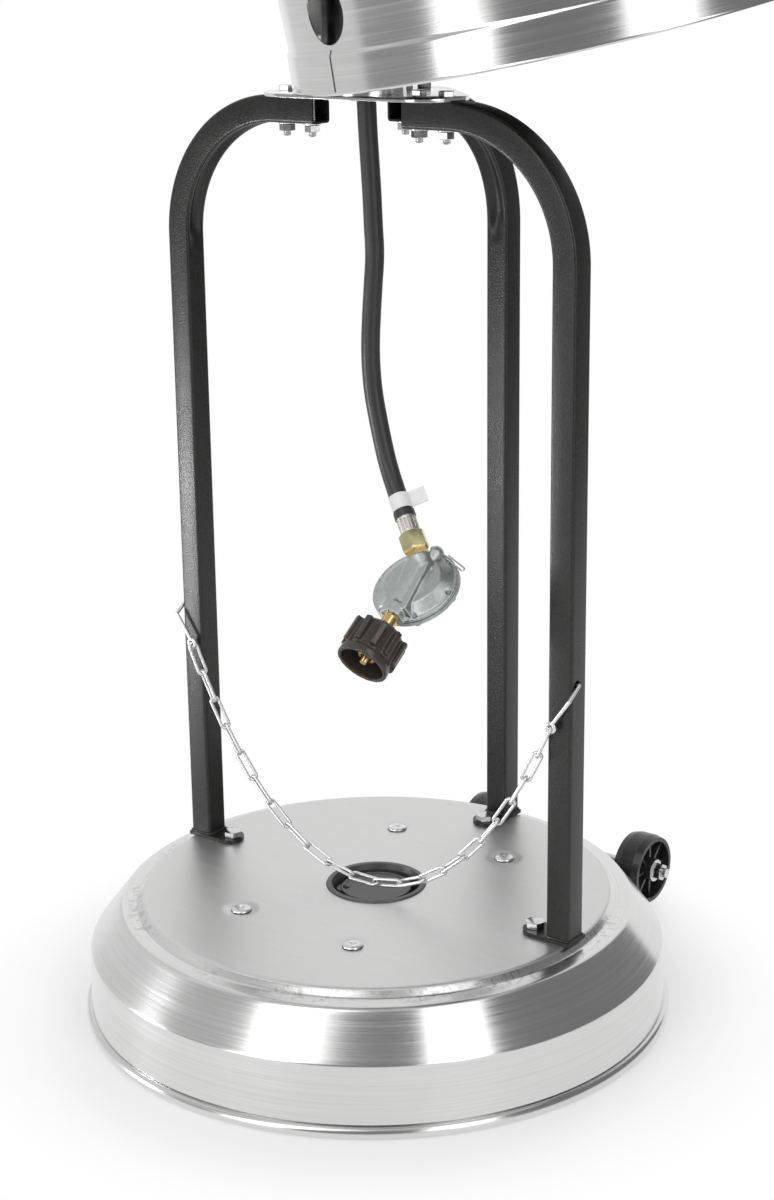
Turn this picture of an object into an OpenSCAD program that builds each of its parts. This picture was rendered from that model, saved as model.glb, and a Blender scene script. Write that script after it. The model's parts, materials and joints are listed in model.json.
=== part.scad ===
// Gas patio heater on a ballast base, with its tank cover lifted and leaned on the plate across the legs.
// Millimetres, +Z up, origin on the floor below the post, the open front of the tank bay towards -Y.

/* [Base] */
// Diameter over the rolled rim
base_d = 460; // [440:2:500]
// Height of the plateau above the floor
base_h = 94; // [85:1:110]
// Diameter of the flat plateau
plateau_d = 363; // [355:1:370]
// Width of the small step around the plateau
step_w = 6; // [4:0.5:8]
// Height of that step
step_h = 5.5; // [4:0.5:7]
// Width of the ledge outside the step
ledge_w = 12; // [9:0.5:14]
// How far the upright wall stands inside the rim
rim_out = 4; // [3:0.5:6]
// Height of the upright wall's top edge
wall_top = 55; // [45:1:62]
// Height of the rolled rim
rim_h = 9; // [7:0.5:12]
// Width of the flat ring that stands on the floor
foot_ring_w = 6; // [4:0.5:9]
// Thickness of the pressed sheet
base_sheet = 1; // [0.8:0.1:1.5]

/* [Filler] */
// Diameter over the filler dish's flange
dish_d = 79; // [74:1:84]
// Diameter of the filler cap
cap_d = 55; // [50:1:57]
// Depth of the dish below the plateau
dish_depth = 16; // [15:1:19]

/* [Legs] */
// Outer width of the square tube
tube_w = 20; // [18:0.5:21]
// Wall of the square tube
tube_wall = 1.5; // [1.2:0.1:2]
// Outer corner radius of the tube
tube_corner = 2.5; // [2.2:0.1:3.5]
// Distance from the post's axis to each leg's axis
leg_r = 175; // [170:1:180]
// Centreline radius of the bend at a leg's top
leg_bend_r = 97; // [85:1:100]
// Height of the top of the legs
leg_top = 697; // [660:1:740]
// Distance from the post's axis to a leg's inner end
leg_end_r = 40; // [36:1:44]
// Thickness of a foot plate
foot_t = 3; // [2.5:0.5:4]
// Width of a foot plate
foot_w = 23; // [20:0.5:26]
// Distance from the post's axis to a foot bolt
foot_bolt_r = 149; // [146:1:152]

/* [Plate and post] */
// Thickness of the plate across the legs
plate_t = 2.5; // [2:0.5:4]
// Radius of the plate's rounded lobes
lobe_r = 30; // [28:0.5:33]
// Distance from the axis to a lobe's centre
lobe_at = 54; // [52:0.5:58]
// Distance from the axis to the inner plate bolts
bolt_near = 48; // [46:0.5:49]
// Spacing of the two bolts in a leg
bolt_pitch = 23.5; // [22:0.5:25]
// Outer diameter of the post
post_d = 60; // [55:1:62]
// Wall of the post
post_wall = 1.5; // [1.2:0.1:2.5]
// Height of the post's top
post_top = 1720; // [1700:5:1780]

/* [Tank cover] */
// Diameter over the cover's lower edge
cover_d = 408; // [404:1:412]
// Height of the cover
cover_h = 700; // [690:1:710]
// Diameter of the cover at its lid
cover_top_d = 372; // [360:1:390]
// Height of the flared hem
hem_h = 24; // [18:1:32]
// How far the hem flares out
hem_flare = 4; // [2:0.5:5]
// Thickness of the cover's sheet
cover_sheet = 0.8; // [0.6:0.1:1.2]
// Diameter of the hand holes
hand_hole_d = 43; // [36:1:50]
// Height of a hand hole's centre above the lower edge
hand_hole_up = 54; // [52:1:90]
// Lean of the lifted cover, in degrees
cover_tilt = 12.3; // [12.25:0.05:12.4]
// Heading of the lean, from +X, in degrees
cover_heading = 44; // [42:0.5:46]

/* [Chain] */
// Wire of a chain link
link_wire = 2.5; // [2:0.1:3]
// Outer length of a link
link_l = 29; // [27:0.5:31]
// Outer width of a link
link_w = 9; // [8.5:0.1:10]
// Number of links
link_count = 21; // [19:2:21]
// Catenary constant of the hanging chain
chain_a = 111; // [105:1:118]
// Height of the hook holes in the side legs
hook_z = 295; // [285:1:320]
// Wire of a hook
hook_wire = 2.8; // [2.4:0.1:3.2]

/* [Hose and regulator] */
// Outer diameter of the hose
hose_d = 14; // [12:0.5:15]
// Diameter of the regulator's clamped rim
regulator_d = 66; // [62:1:70]
// Diameter of the hand nut's mouth
hand_nut_d = 39.5; // [39:0.5:42]
// Length of the hand nut
hand_nut_l = 32; // [30:1:36]

/* [Wheels] */
// Diameter of a wheel
wheel_d = 60; // [54:1:60]
// Width of a wheel's tread
wheel_w = 24; // [20:1:28]
// Distance between the middles of the two treads
track = 160; // [150:2:180]
// Distance from the base's rim to the axle
axle_back = 42; // [38:1:50]
// Diameter of the axle
axle_d = 8; // [7:0.5:10]

/* [Head] */
// Diameter of the control housing
housing_d = 190; // [180:2:210]
// Height of the control housing
housing_h = 128; // [120:1:140]
// Diameter of the emitter screen at its foot
emitter_d = 220; // [200:2:240]
// Diameter of the emitter screen at its top
emitter_top_d = 256; // [240:2:270]
// Height of the emitter screen
emitter_h = 240; // [220:2:280]
// Diameter of the reflector
reflector_d = 813; // [760:1:840]
// Rise of the reflector's dome
reflector_rise = 92; // [80:1:110]
// Gap between the emitter's top and the reflector's crown
reflector_gap = 84; // [80:1:100]
// Diameter of the control knob
knob_d = 46; // [40:1:52]

/* [Hidden] */
$fn = 64;
eps = 0.01;
// Play between a hole and the bolt through it, on the diameter
bolt_play = 0.5;
// Radial running clearance of turning and sliding fits
running = 0.05;
// Clearance between parts that move past each other
clear = 0.3;
// How much an elbow's ball stands over the wire
ball_over = 0.1;
// Height of the plateau's underside
deck_z = base_h - base_sheet;
ledge_z = base_h - step_h;
step_r = plateau_d / 2 + step_w;
ledge_r = step_r + ledge_w;
wall_r = base_d / 2 - rim_out;
// The wall leans in by this much from its foot to its top
wall_lean = 2;
// Height of the shadow gap above the rolled rim
rim_gap = 1.6;
// Centre of the rolled rim's bead, the angle where the wall runs into it, and its facets
bead = [base_d / 2 - rim_h / 2, rim_h / 2];
bead_from = 104;
bead_steps = 15;
// Facets of a plate lobe
lobe_steps = 16;
ledge_fall = 1.5;

// Metric bolts: thread, head across flats, head height
m6 = [6, 10, 4];
m8 = [8, 13, 5.3];
nut_h6 = 5;
nut_h8 = 6.5;
nut_flange_d = 13;
nut_flange_h = 1.2;
bolt_tip = 3.5;

// Cross-head screws that hold the ballast tank up to the plateau
screw_x = 54;
screw_y = 99;
screw_d = 4;
screw_head_d = 15;
screw_head_h = 2.6;
screw_l = 12;
// Dished seat under each of those heads
dimple_d = 28;
dimple_h = 0.6;
screw_seat_z = base_h - dimple_h;

// Ballast tank inside the base
tank_gap = 10;
tank_wall = 3;
tank_floor_z = 6;
tank_top_z = deck_z - dish_depth - 2;
tank_r = wall_r - wall_lean - tank_gap;
tank_shoulder_r = plateau_d / 2 - tank_gap;
boss_d = 16;

// Filler dish and cap
dish_wall = 1.6;
dish_flange_h = 1.2;
dish_r = dish_d / 2 - 3.5;
neck_d = 38;
neck_up = 9;
cap_h = 4;
cap_plug = 4;
tab_w = 15;
tab_x = 3.5 - cap_d / 2;
tab_turn = 37;

// Legs
foot_top = base_h + foot_t;
bend_z = leg_top - tube_w / 2 - leg_bend_r;
bolt_far = bolt_near + bolt_pitch;
plate_top = leg_top + plate_t;
foot_overhang = 8.5;

// Hose: where it leaves the plate, then points chosen along its hanging line
hose_x = 1;
hose_y = 1;
hose_sides = 10;
hose_grip = 3;
hose_top = leg_top - hose_grip;
hose_points = [
    [1.5, 1.5, 674],
    [2.5, 2, 652],
    [3.5, 2.5, 630],
    [4, 3, 608],
    [4.5, 3.5, 586],
    [3.5, 2.5, 564],
    [2, 2, 542],
    [1.5, 1, 520],
    [2, 1, 500],
    [4, 1, 483],
    [7.5, 1, 466],
    [12, 0.5, 449],
    [17.5, -1, 434]
];

// Regulator: its own frame has x along the inlet, away from the hand nut, and z out of its face
regulator_at = [66, -32.5, 354];
regulator_turn = [0, -36, 90];
duct_z = 6;
duct_r = 8;
duct_end_r = 11;
duct_l = 48;
duct_turn = 4;
spur_at = [28, -4, 7];
spur_r = 6;
rim_half = 3.2;
outlet_root = [20.5, 5, 10.5];
outlet_turn = [0, -25, 41];
// Lengths along the outlet, from the spot face on the duct to the hose
outlet_boss_l = 14;
adapter_l = 5;
swivel_l = 14;
ferrule_l = 13;
collar_l = 5;
swivel_s = adapter_l;
ferrule_s = swivel_s + swivel_l;
collar_s = ferrule_s + ferrule_l;
hose_s = collar_s + collar_l;
label_l = 12;
label_t = 0.5;
label_gap = 1.5;
flag_w = 13;
adapter_af = 15;
swivel_af = 18;
ferrule_d = hose_d + 0.8;
collar_d = hose_d + 2;
nipple_d = 12;
nipple_l = 12;
nipple_end = -regulator_d / 2 - nipple_l;
nut_back_t = 8;
nut_skin = 3;
nut_rib_count = 10;
nut_rib_h = 2;
nut_rib_w = 5;
tip_l = 22;
tip_d = 13;

// Wheels and axle
axle_y = base_d / 2 + axle_back;
axle_z = wheel_d / 2 + 1;
hub_d = 20;
wheel_rim = 5;
wheel_web = 5;
rib_count = 8;
washer_d = 19;
washer_t = 1.6;
axle_nut_af = 13;
axle_nut_h = 7;
axle_tip = 4;
ear_t = 3;
ear_x = track / 2 - wheel_w / 2 - clear - ear_t;
bracket_z0 = rim_h + rim_gap + 2;
bracket_h = 36;
bracket_bolt_x = 18;

// Tank cover: z = 0 at its lid, its axis leaned over the guide bush
cover_r = cover_d / 2;
cover_waist_r = cover_r - hem_flare;
cover_top_r = cover_top_d / 2;
cover_pivot_z = plate_top + clear + cover_r * sin(cover_tilt) + cover_h * cos(cover_tilt);
lid_flange = 12;
lid_hole_r = post_d / 2 + 7;
bush_wall = 4;
bush_flange_r = lid_hole_r + 5;
bush_flange_t = 2.5;
bush_half = bush_flange_r * tan(cover_tilt) + cover_sheet + clear;
// Hand holes, one on the lapped seam and one opposite, from the heading of the lean
hand_hole_at = 207;
seam_turn = 1.6;
seam_t = 0.5;

// Chain
link_inner = link_l - 2 * link_wire;
link_pitch = link_inner - 0.5;
chain_y = -tube_w / 2 - link_w / 2 - 1;
chain_low_z = base_h + 9;
chain_half = link_count * link_pitch / 2;
chain_roll = 25;
link_slack = 0.4;
eye_r = link_wire / 2 + hook_wire / 2 + ball_over + link_slack;
// Arc length at the middle of the end link's outer wire
link_end_s = chain_half - link_pitch / 2 + link_l / 2 - link_wire / 2;
hook_y = -2.5;
hook_hole_d = 7;
hook_in = 5;
// Share of the hook's rise at which its wire passes the leg's corner
hook_shoulder = 0.72;

// Head
head_plate_t = 2;
housing_z = post_top + head_plate_t;
housing_wall = 1;
riser_hole_d = hose_d + 4;
panel_w = 124;
panel_h = 84;
panel_d = 22;
panel_z = housing_z + housing_h / 2;
panel_y = -housing_d / 2 - panel_d / 2;
panel_wall = 1.5;
knob_x = -26;
knob_h = 20;
knob_gap = 5;
knob_skirt_d = 1.22 * knob_d;
knob_skirt_h = 4;
stem_d = 6;
stem_l = 34;
valve_size = [44, 40, 50];
igniter_x = 38;
igniter_d = 22;
igniter_cap_d = 15;
igniter_neck_d = 18;
igniter_travel = 5;
emitter_z = housing_z + housing_h + 3;
emitter_sheet = 1;
emitter_base_r = emitter_d / 2 + 12;
emitter_cap_r = emitter_top_d / 2 + 4;
emitter_cap_t = 3;
burner_d = 120;
burner_h = 70;
rod_count = 3;
rod_d = 8;
rod_ring_r = 90;
reflector_sheet = 1.2;
crown_r = 120;
crown_z = emitter_z + emitter_h + emitter_cap_t + reflector_gap;
reflector_lip = 8;
wing_nut_h = 12;

// Geometry helpers
function unit(v) = v / norm(v);
function left_of(a, b) = let (d = unit(b - a)) [-d[1], d[0]];
function mitre(p, i, t) =
    let (
        before = i == 0 ? left_of(p[0], p[1]) : left_of(p[i - 1], p[i]),
        after = i == len(p) - 1 ? left_of(p[i - 1], p[i]) : left_of(p[i], p[i + 1])
    )
    p[i] + t * (before + after) / (1 + before * after);
// Closed outline of a sheet of thickness t on the left of an open path
function sheet(p, t) = concat(p, [for (i = [len(p) - 1:-1:0]) mitre(p, i, t)]);
function asinh(u) = ln(u + sqrt(u * u + 1));
// Rotation of a vector by turns about x, then y, then z
function turn_x(v, a) = [v[0], v[1] * cos(a) - v[2] * sin(a), v[1] * sin(a) + v[2] * cos(a)];
function turn_y(v, a) = [v[0] * cos(a) + v[2] * sin(a), v[1], v[2] * cos(a) - v[0] * sin(a)];
function turn_z(v, a) = [v[0] * cos(a) - v[1] * sin(a), v[0] * sin(a) + v[1] * cos(a), v[2]];
function turned(v, t) = turn_z(turn_y(turn_x(v, t[0]), t[1]), t[2]);
// Point of the hanging chain at a length s from its lowest point
function chain_point(s) =
    [chain_a * asinh(s / chain_a), chain_y, chain_low_z + sqrt(chain_a * chain_a + s * s) - chain_a];
// Point at a distance s along the regulator's outlet
function outlet_point(s) =
    regulator_at + turned(outlet_root + turned([s, 0, 0], outlet_turn), regulator_turn);

module rounded_square(w, r) {
    square([w - 2 * r, w], center = true);
    square([w, w - 2 * r], center = true);
    for (x = [-1, 1], y = [-1, 1])
        translate([x, y] * (w / 2 - r)) circle(r);
}

module hex_prism(af, h) {
    cylinder(d = af / cos(30), h = h, $fn = 6);
}

module hex_bolt(size, length) {
    hex_prism(size[1], size[2]);
    translate([0, 0, -length]) cylinder(d = size[0], h = length + eps);
}

module hex_nut(af, bore, h) {
    difference() {
        hex_prism(af, h);
        translate([0, 0, -1]) cylinder(d = bore + 2 * running, h = h + 2);
    }
}

module ring(d_out, d_in, h) {
    difference() {
        cylinder(d = d_out, h = h);
        translate([0, 0, -1]) cylinder(d = d_in, h = h + 2);
    }
}

// Bent wire with a round free end and ball elbows, its last end buried in another piece
module wire_path(path, d) {
    for (i = [1:len(path) - 1]) {
        v = path[i] - path[i - 1];
        translate(path[i - 1]) rotate([0, acos(v[2] / norm(v)), atan2(v[1], v[0])])
            cylinder(d = d, h = norm(v));
    }
    for (i = [0:len(path) - 2]) translate(path[i]) sphere(d = d + ball_over);
}

module at_screws() {
    for (x = [-1, 1], y = [-1, 1]) translate([x * screw_x, y * screw_y, 0]) children();
}

// The right, rear and left leg positions
module at_legs() {
    for (a = [0, 90, 180]) rotate([0, 0, a]) children();
}

module at_plate_bolts() {
    at_legs() for (x = [bolt_near, bolt_far]) translate([x, 0, 0]) children();
}

// Base
module base_shell() {
    profile = [
        [dish_r + clear, base_h],
        [plateau_d / 2, base_h],
        [step_r, ledge_z],
        [ledge_r, ledge_z - ledge_fall],
        [wall_r - wall_lean, wall_top],
        [wall_r, rim_h + rim_gap],
        bead + rim_h / 2 * [cos(bead_from), sin(bead_from)]
    ];
    rolled_rim = [for (i = [1:bead_steps]) let (a = bead_from - i * (bead_from + 90) / bead_steps)
        bead + rim_h / 2 * [cos(a), sin(a)]];
    foot = [[bead[0] - foot_ring_w, 0], [bead[0] - foot_ring_w, rim_h - 2]];
    inside = [for (i = [len(profile) - 1:-1:0]) mitre(profile, i, -base_sheet)];
    color("silver")
    difference() {
        rotate_extrude() polygon(concat(profile, rolled_rim, foot, inside));
        at_screws() translate([0, 0, deck_z - 5]) cylinder(d = screw_d + bolt_play, h = 10);
        at_screws() translate([0, 0, screw_seat_z])
            cylinder(d1 = screw_head_d + 2, d2 = dimple_d, h = dimple_h);
        at_legs() translate([foot_bolt_r, 0, deck_z - 5]) cylinder(d = m8[0] + bolt_play, h = 10);
        for (s = [-1, 1]) at_bracket_bolt(s) cylinder(d = m6[0] + bolt_play, h = 60, center = true);
    }
}

module water_tank() {
    outer = [
        [0, tank_floor_z],
        [tank_r, tank_floor_z],
        [tank_r, wall_top - tank_gap],
        [tank_shoulder_r, tank_top_z],
        [neck_d / 2, tank_top_z],
        [neck_d / 2, tank_top_z - tank_wall],
        [tank_shoulder_r - tank_wall, tank_top_z - tank_wall],
        [tank_r - tank_wall, wall_top - tank_gap - tank_wall],
        [tank_r - tank_wall, tank_floor_z + tank_wall],
        [0, tank_floor_z + tank_wall]
    ];
    color("dimgray")
    difference() {
        union() {
            rotate_extrude() polygon(outer);
            at_screws() translate([0, 0, tank_top_z - eps])
                cylinder(d = boss_d, h = deck_z - tank_top_z + eps);
        }
        at_screws() translate([0, 0, screw_seat_z - screw_l - 1])
            cylinder(d = screw_d + 2 * running, h = screw_l + 2);
    }
}

module plateau_screws() {
    color("gainsboro")
    at_screws() {
        difference() {
            union() {
                translate([0, 0, screw_seat_z])
                    cylinder(d1 = screw_head_d, d2 = screw_head_d - 3, h = screw_head_h);
                translate([0, 0, screw_seat_z - screw_l]) cylinder(d = screw_d, h = screw_l + eps);
            }
            for (a = [45, 135])
                translate([0, 0, screw_seat_z + screw_head_h]) rotate([0, 0, a])
                    cube([6, 1.2, 3], center = true);
        }
    }
}

module filler_dish() {
    floor_z = base_h - dish_depth;
    color([0.1, 0.1, 0.1])
    rotate_extrude() {
        polygon([
            [neck_d / 2 - dish_wall, tank_top_z],
            [neck_d / 2 + 4, tank_top_z],
            [neck_d / 2 + 4, floor_z - dish_wall],
            [dish_r, floor_z - dish_wall],
            [dish_r, base_h],
            [dish_d / 2, base_h],
            [dish_d / 2 - 1, base_h + dish_flange_h],
            [dish_r - 1, base_h + dish_flange_h],
            [dish_r - dish_wall - 1, base_h - 3],
            [dish_r - dish_wall - 1, floor_z],
            [neck_d / 2 + 1, floor_z],
            [neck_d / 2 + 1, floor_z + neck_up],
            [neck_d / 2 - dish_wall, floor_z + neck_up]
        ]);
    }
}

module filler_cap() {
    seat_z = base_h - dish_depth + neck_up + clear;
    color([0.14, 0.14, 0.14])
    rotate([0, 0, tab_turn])
    difference() {
        union() {
            translate([0, 0, seat_z]) cylinder(d = cap_d, h = cap_h - 1);
            translate([0, 0, seat_z]) ring(cap_d, cap_d - 5, cap_h);
            translate([0, 0, seat_z - cap_plug])
                cylinder(r = neck_d / 2 - dish_wall - clear, h = cap_plug + eps);
            translate([tab_x, 0, seat_z]) cylinder(d = tab_w, h = cap_h - 1);
        }
        translate([tab_x, 0, seat_z - 1]) cylinder(d = 8, h = cap_h + 2, $fn = 3);
    }
}

// Legs
module tube_section() {
    difference() {
        rounded_square(tube_w, tube_corner);
        rounded_square(tube_w - 2 * tube_wall, tube_corner - tube_wall);
    }
}

module bent_leg(hook_side) {
    difference() {
        union() {
            translate([leg_r, 0, foot_top]) linear_extrude(bend_z - foot_top) tube_section();
            translate([leg_r - leg_bend_r, 0, bend_z]) rotate([90, 0, 0])
                rotate_extrude(angle = 90) translate([leg_bend_r, 0]) tube_section();
            translate([leg_end_r, 0, leg_top - tube_w / 2]) rotate([90, 0, 90])
                linear_extrude(leg_r - leg_bend_r - leg_end_r) tube_section();
        }
        for (x = [bolt_near, bolt_far])
            translate([x, 0, leg_top - tube_w - 1]) cylinder(d = m6[0] + bolt_play, h = tube_w + 2);
        if (hook_side)
            translate([leg_r, hook_y, hook_z]) rotate([0, 90, 0]) cylinder(d = hook_hole_d, h = tube_w);
    }
}

module right_leg() {
    color([0.12, 0.12, 0.12]) bent_leg(true);
}

module left_leg() {
    color([0.12, 0.12, 0.12]) mirror([1, 0, 0]) bent_leg(true);
}

module rear_leg() {
    color([0.12, 0.12, 0.12]) rotate([0, 0, 90]) bent_leg(false);
}

module foot_plates() {
    inner = foot_bolt_r - foot_overhang + foot_w / 2;
    color([0.1, 0.1, 0.1])
    at_legs() difference() {
        union() {
            translate([inner, -foot_w / 2, base_h]) cube([leg_r + tube_w / 2 + 1 - inner, foot_w, foot_t]);
            translate([inner, 0, base_h]) cylinder(d = foot_w, h = foot_t);
        }
        translate([foot_bolt_r, 0, base_h - 1]) cylinder(d = m8[0] + bolt_play, h = foot_t + 2);
    }
}

module foot_bolts() {
    color("gainsboro")
    at_legs() translate([foot_bolt_r, 0, foot_top]) hex_bolt(m8, foot_t + base_sheet + nut_h8 + bolt_tip);
}

module foot_nuts() {
    color("gainsboro")
    at_legs() translate([foot_bolt_r, 0, deck_z - nut_h8]) hex_nut(m8[1], m8[0], nut_h8);
}

// Plate and post
module plate_outline() {
    lobes = [[lobe_at, 0, -90, 45], [0, lobe_at, 45, 135], [-lobe_at, 0, 135, 270]];
    polygon([for (lobe = lobes, i = [0:lobe_steps])
        let (a = lobe[2] + i * (lobe[3] - lobe[2]) / lobe_steps)
        [lobe[0] + lobe_r * cos(a), lobe[1] + lobe_r * sin(a)]]);
}

module top_plate() {
    color("silver")
    translate([0, 0, leg_top]) difference() {
        linear_extrude(plate_t) plate_outline();
        at_plate_bolts() translate([0, 0, -1]) cylinder(d = m6[0] + bolt_play, h = plate_t + 2);
        translate([hose_x, hose_y, -1]) cylinder(d = hose_d + 6, h = plate_t + 2);
    }
}

module plate_bolts() {
    color("gainsboro")
    at_plate_bolts() translate([0, 0, plate_top])
        hex_bolt(m6, plate_t + tube_w + nut_h6 + nut_flange_h + bolt_tip);
}

module plate_nuts() {
    color("gainsboro")
    at_plate_bolts() translate([0, 0, leg_top - tube_w - nut_h6 - nut_flange_h]) {
        hex_nut(m6[1], m6[0], nut_h6 + eps);
        translate([0, 0, nut_h6]) ring(nut_flange_d, m6[0] + 2 * running, nut_flange_h);
    }
}

module post() {
    color("silver")
    translate([0, 0, plate_top]) ring(post_d, post_d - 2 * post_wall, post_top - plate_top);
}

// Hose
module hose_grommet() {
    color([0.08, 0.08, 0.08])
    translate([hose_x, hose_y, leg_top]) {
        ring(hose_d + 6 - 2 * running, hose_d + 2 * running, plate_t + 2);
        translate([0, 0, -2]) ring(hose_d + 12, hose_d + 2 * running, 2);
    }
}

module riser_hose() {
    color([0.1, 0.1, 0.1])
    translate([hose_x, hose_y, hose_top]) cylinder(d = hose_d, h = housing_z + 30 - hose_top);
}

// The hanging stretch runs down the chosen points and straight into the collar
hose_route = concat(
    [[hose_x, hose_y, hose_top]],
    hose_points,
    [for (s = [hose_s + label_l + 2 * label_gap, hose_s + label_l / 2, hose_s]) outlet_point(s)]
);

module hose() {
    count = len(hose_route);
    rings = [
        for (i = [0:count - 1])
            let (
                t = unit(hose_route[min(i + 1, count - 1)] - hose_route[max(i - 1, 0)]),
                side = unit(cross([0, 1, 0], t)),
                other = cross(t, side)
            )
            [for (k = [0:hose_sides - 1])
                let (a = 360 * k / hose_sides)
                hose_route[i] + hose_d / 2 * (cos(a) * side + sin(a) * other)]
    ];
    points = [for (r = rings) each r];
    sides = [
        for (i = [0:count - 2], k = [0:hose_sides - 1])
            let (a = i * hose_sides + k, b = i * hose_sides + (k + 1) % hose_sides)
            each [[a, b, b + hose_sides], [a, b + hose_sides, a + hose_sides]]
    ];
    last = (count - 1) * hose_sides;
    caps = [
        for (k = [1:hose_sides - 2])
            each [[0, k + 1, k], [last, last + k, last + k + 1]]
    ];
    color([0.1, 0.1, 0.1]) polyhedron(points, concat(sides, caps));
}

module at_regulator() {
    translate(regulator_at) rotate(regulator_turn) children();
}

// Along the outlet, with z pointing from the duct to the hose
module at_outlet(s) {
    at_regulator() translate(outlet_root) rotate(outlet_turn) rotate([0, 90, 0]) translate([0, 0, s])
        children();
}

module hose_label() {
    label_d = hose_d + 2 * running;
    color("white")
    at_outlet(hose_s + label_gap) {
        ring(label_d + 2 * label_t, label_d, label_l);
        rotate([0, 0, 270]) translate([label_d / 2 + 0.1, -label_t, 0])
            cube([flag_w, 2 * label_t, label_l]);
    }
}

module hose_collar() {
    color([0.06, 0.06, 0.06]) at_outlet(collar_s) cylinder(d = collar_d, h = collar_l);
}

module hose_ferrule() {
    groove_count = 14;
    color("silver")
    at_outlet(ferrule_s) difference() {
        cylinder(d = ferrule_d, h = ferrule_l);
        for (k = [0:groove_count - 1])
            rotate([0, 0, 360 * k / groove_count]) translate([ferrule_d / 2, 0, 2])
                cylinder(d = 1.4, h = ferrule_l - 4);
    }
}

module swivel_nut() {
    color([0.78, 0.68, 0.36])
    at_outlet(swivel_s) intersection() {
        hex_prism(swivel_af, swivel_l);
        rotate_extrude() polygon([
            [0, 0],
            [swivel_af / 2 - 0.3, 0],
            [swivel_af / 2 + 1.4, 1.5],
            [swivel_af / 2 + 1.4, swivel_l - 1.5],
            [swivel_af / 2 - 0.3, swivel_l],
            [0, swivel_l]
        ]);
    }
}

module outlet_adapter() {
    color([0.72, 0.53, 0.25]) at_outlet(0) hex_prism(adapter_af, adapter_l);
}

module at_rim_screws() {
    for (a = [30:60:330]) rotate([0, 0, a]) translate([regulator_d / 2 - 3.2, 0, 0]) children();
}

module regulator_body() {
    inlet = [-regulator_d / 2, 0, duct_z];
    color("darkgray")
    difference() {
        union() {
            at_regulator() {
                cylinder(d = regulator_d, h = rim_half);
                translate([0, 0, rim_half - eps])
                    cylinder(d1 = regulator_d - 5, d2 = regulator_d - 22, h = 6);
                translate(inlet) rotate([0, 90, 0]) hex_prism(2 * duct_r + 1, 10);
                translate(inlet) rotate([0, 90, duct_turn]) {
                    translate([0, 0, 4]) cylinder(r1 = duct_r, r2 = duct_end_r, h = duct_l - 4);
                    translate([0, 0, duct_l]) sphere(r = duct_end_r);
                }
                wire_path([spur_at, [spur_at[0] / 2, 0, duct_z]], 2 * spur_r);
            }
            at_outlet(-outlet_boss_l) cylinder(r = duct_r + 1, h = outlet_boss_l);
        }
        at_regulator() {
            translate([0, 0, -20 + eps / 2]) cube([200, 200, 40 - eps], center = true);
            at_rim_screws() translate([0, 0, -5]) cylinder(d = 3 + bolt_play, h = 30);
        }
        at_outlet(0) cylinder(d = adapter_af / cos(30) + 2, h = 60);
        at_outlet(swivel_s - 0.5) cylinder(d = swivel_af / cos(30) + 1, h = 60);
    }
}

module regulator_cover() {
    color("darkgray")
    at_regulator() difference() {
        union() {
            translate([0, 0, -rim_half]) cylinder(d = regulator_d, h = rim_half);
            translate([0, 0, -rim_half - 9])
                cylinder(d1 = regulator_d - 26, d2 = regulator_d - 16, h = 9 + eps);
            translate([0, 0, -rim_half - 17]) cylinder(d = 26, h = 9);
        }
        at_rim_screws() translate([0, 0, -30]) cylinder(d = 3 + bolt_play, h = 40);
    }
}

module regulator_screws() {
    color("gainsboro")
    at_regulator() at_rim_screws() translate([0, 0, -rim_half]) {
        translate([0, 0, -1]) cylinder(d = 3, h = 2 * rim_half + 1);
        translate([0, 0, -1.8]) cylinder(d = 5.5, h = 1.8);
    }
}

// Hairpin of vent wire that lies on the rim and sticks out past its edge
module vent_wire() {
    wire_d = 1.2;
    half_gap = 1.4;
    leg_l = 20;
    color("silver")
    at_regulator() rotate([0, 0, -22]) translate([regulator_d / 2 - 1, 0, rim_half + wire_d / 2])
        rotate([0, 0, -92]) {
            for (s = [-1, 1])
                translate([0, s * half_gap, 0]) rotate([0, 90, 0])
                    cylinder(d = wire_d, h = leg_l, $fn = 24);
            translate([leg_l, 0, 0]) rotate([0, 0, -90])
                rotate_extrude(angle = 180) translate([half_gap, 0]) circle(d = wire_d, $fn = 24);
        }
}

module inlet_nipple() {
    color([0.72, 0.53, 0.25])
    at_regulator() translate([nipple_end - nut_back_t, 0, duct_z]) rotate([0, 90, 0])
        cylinder(d = nipple_d, h = nipple_l + nut_back_t);
}

module inlet_tip() {
    start = nipple_end - nut_back_t;
    color([0.72, 0.53, 0.25])
    at_regulator() translate([start, 0, duct_z]) rotate([0, -90, 0]) {
        cylinder(d = tip_d, h = tip_l - 5);
        translate([0, 0, tip_l - 5 - eps]) cylinder(d1 = tip_d - 4, d2 = 5, h = 5);
    }
}

module hand_nut() {
    back = nipple_end;
    mouth_r = hand_nut_d / 2;
    color([0.09, 0.09, 0.09])
    at_regulator() translate([back, 0, duct_z]) rotate([0, -90, 0]) difference() {
        union() {
            rotate_extrude() polygon([
                [0, 0],
                [mouth_r - 5, 0],
                [mouth_r - 2.5, 3],
                [mouth_r - 1.5, hand_nut_l - 6],
                [mouth_r, hand_nut_l - 6],
                [mouth_r, hand_nut_l],
                [0, hand_nut_l]
            ]);
            for (k = [0:nut_rib_count - 1])
                rotate([0, 0, 360 * k / nut_rib_count]) translate([mouth_r - 6, -nut_rib_w / 2, 3])
                    cube([6 + nut_rib_h, nut_rib_w, hand_nut_l - 12]);
        }
        translate([0, 0, -1]) cylinder(d = nipple_d + 2 * running, h = hand_nut_l);
        translate([0, 0, nut_back_t - clear]) cylinder(r = mouth_r - nut_skin, h = hand_nut_l);
    }
}

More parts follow.
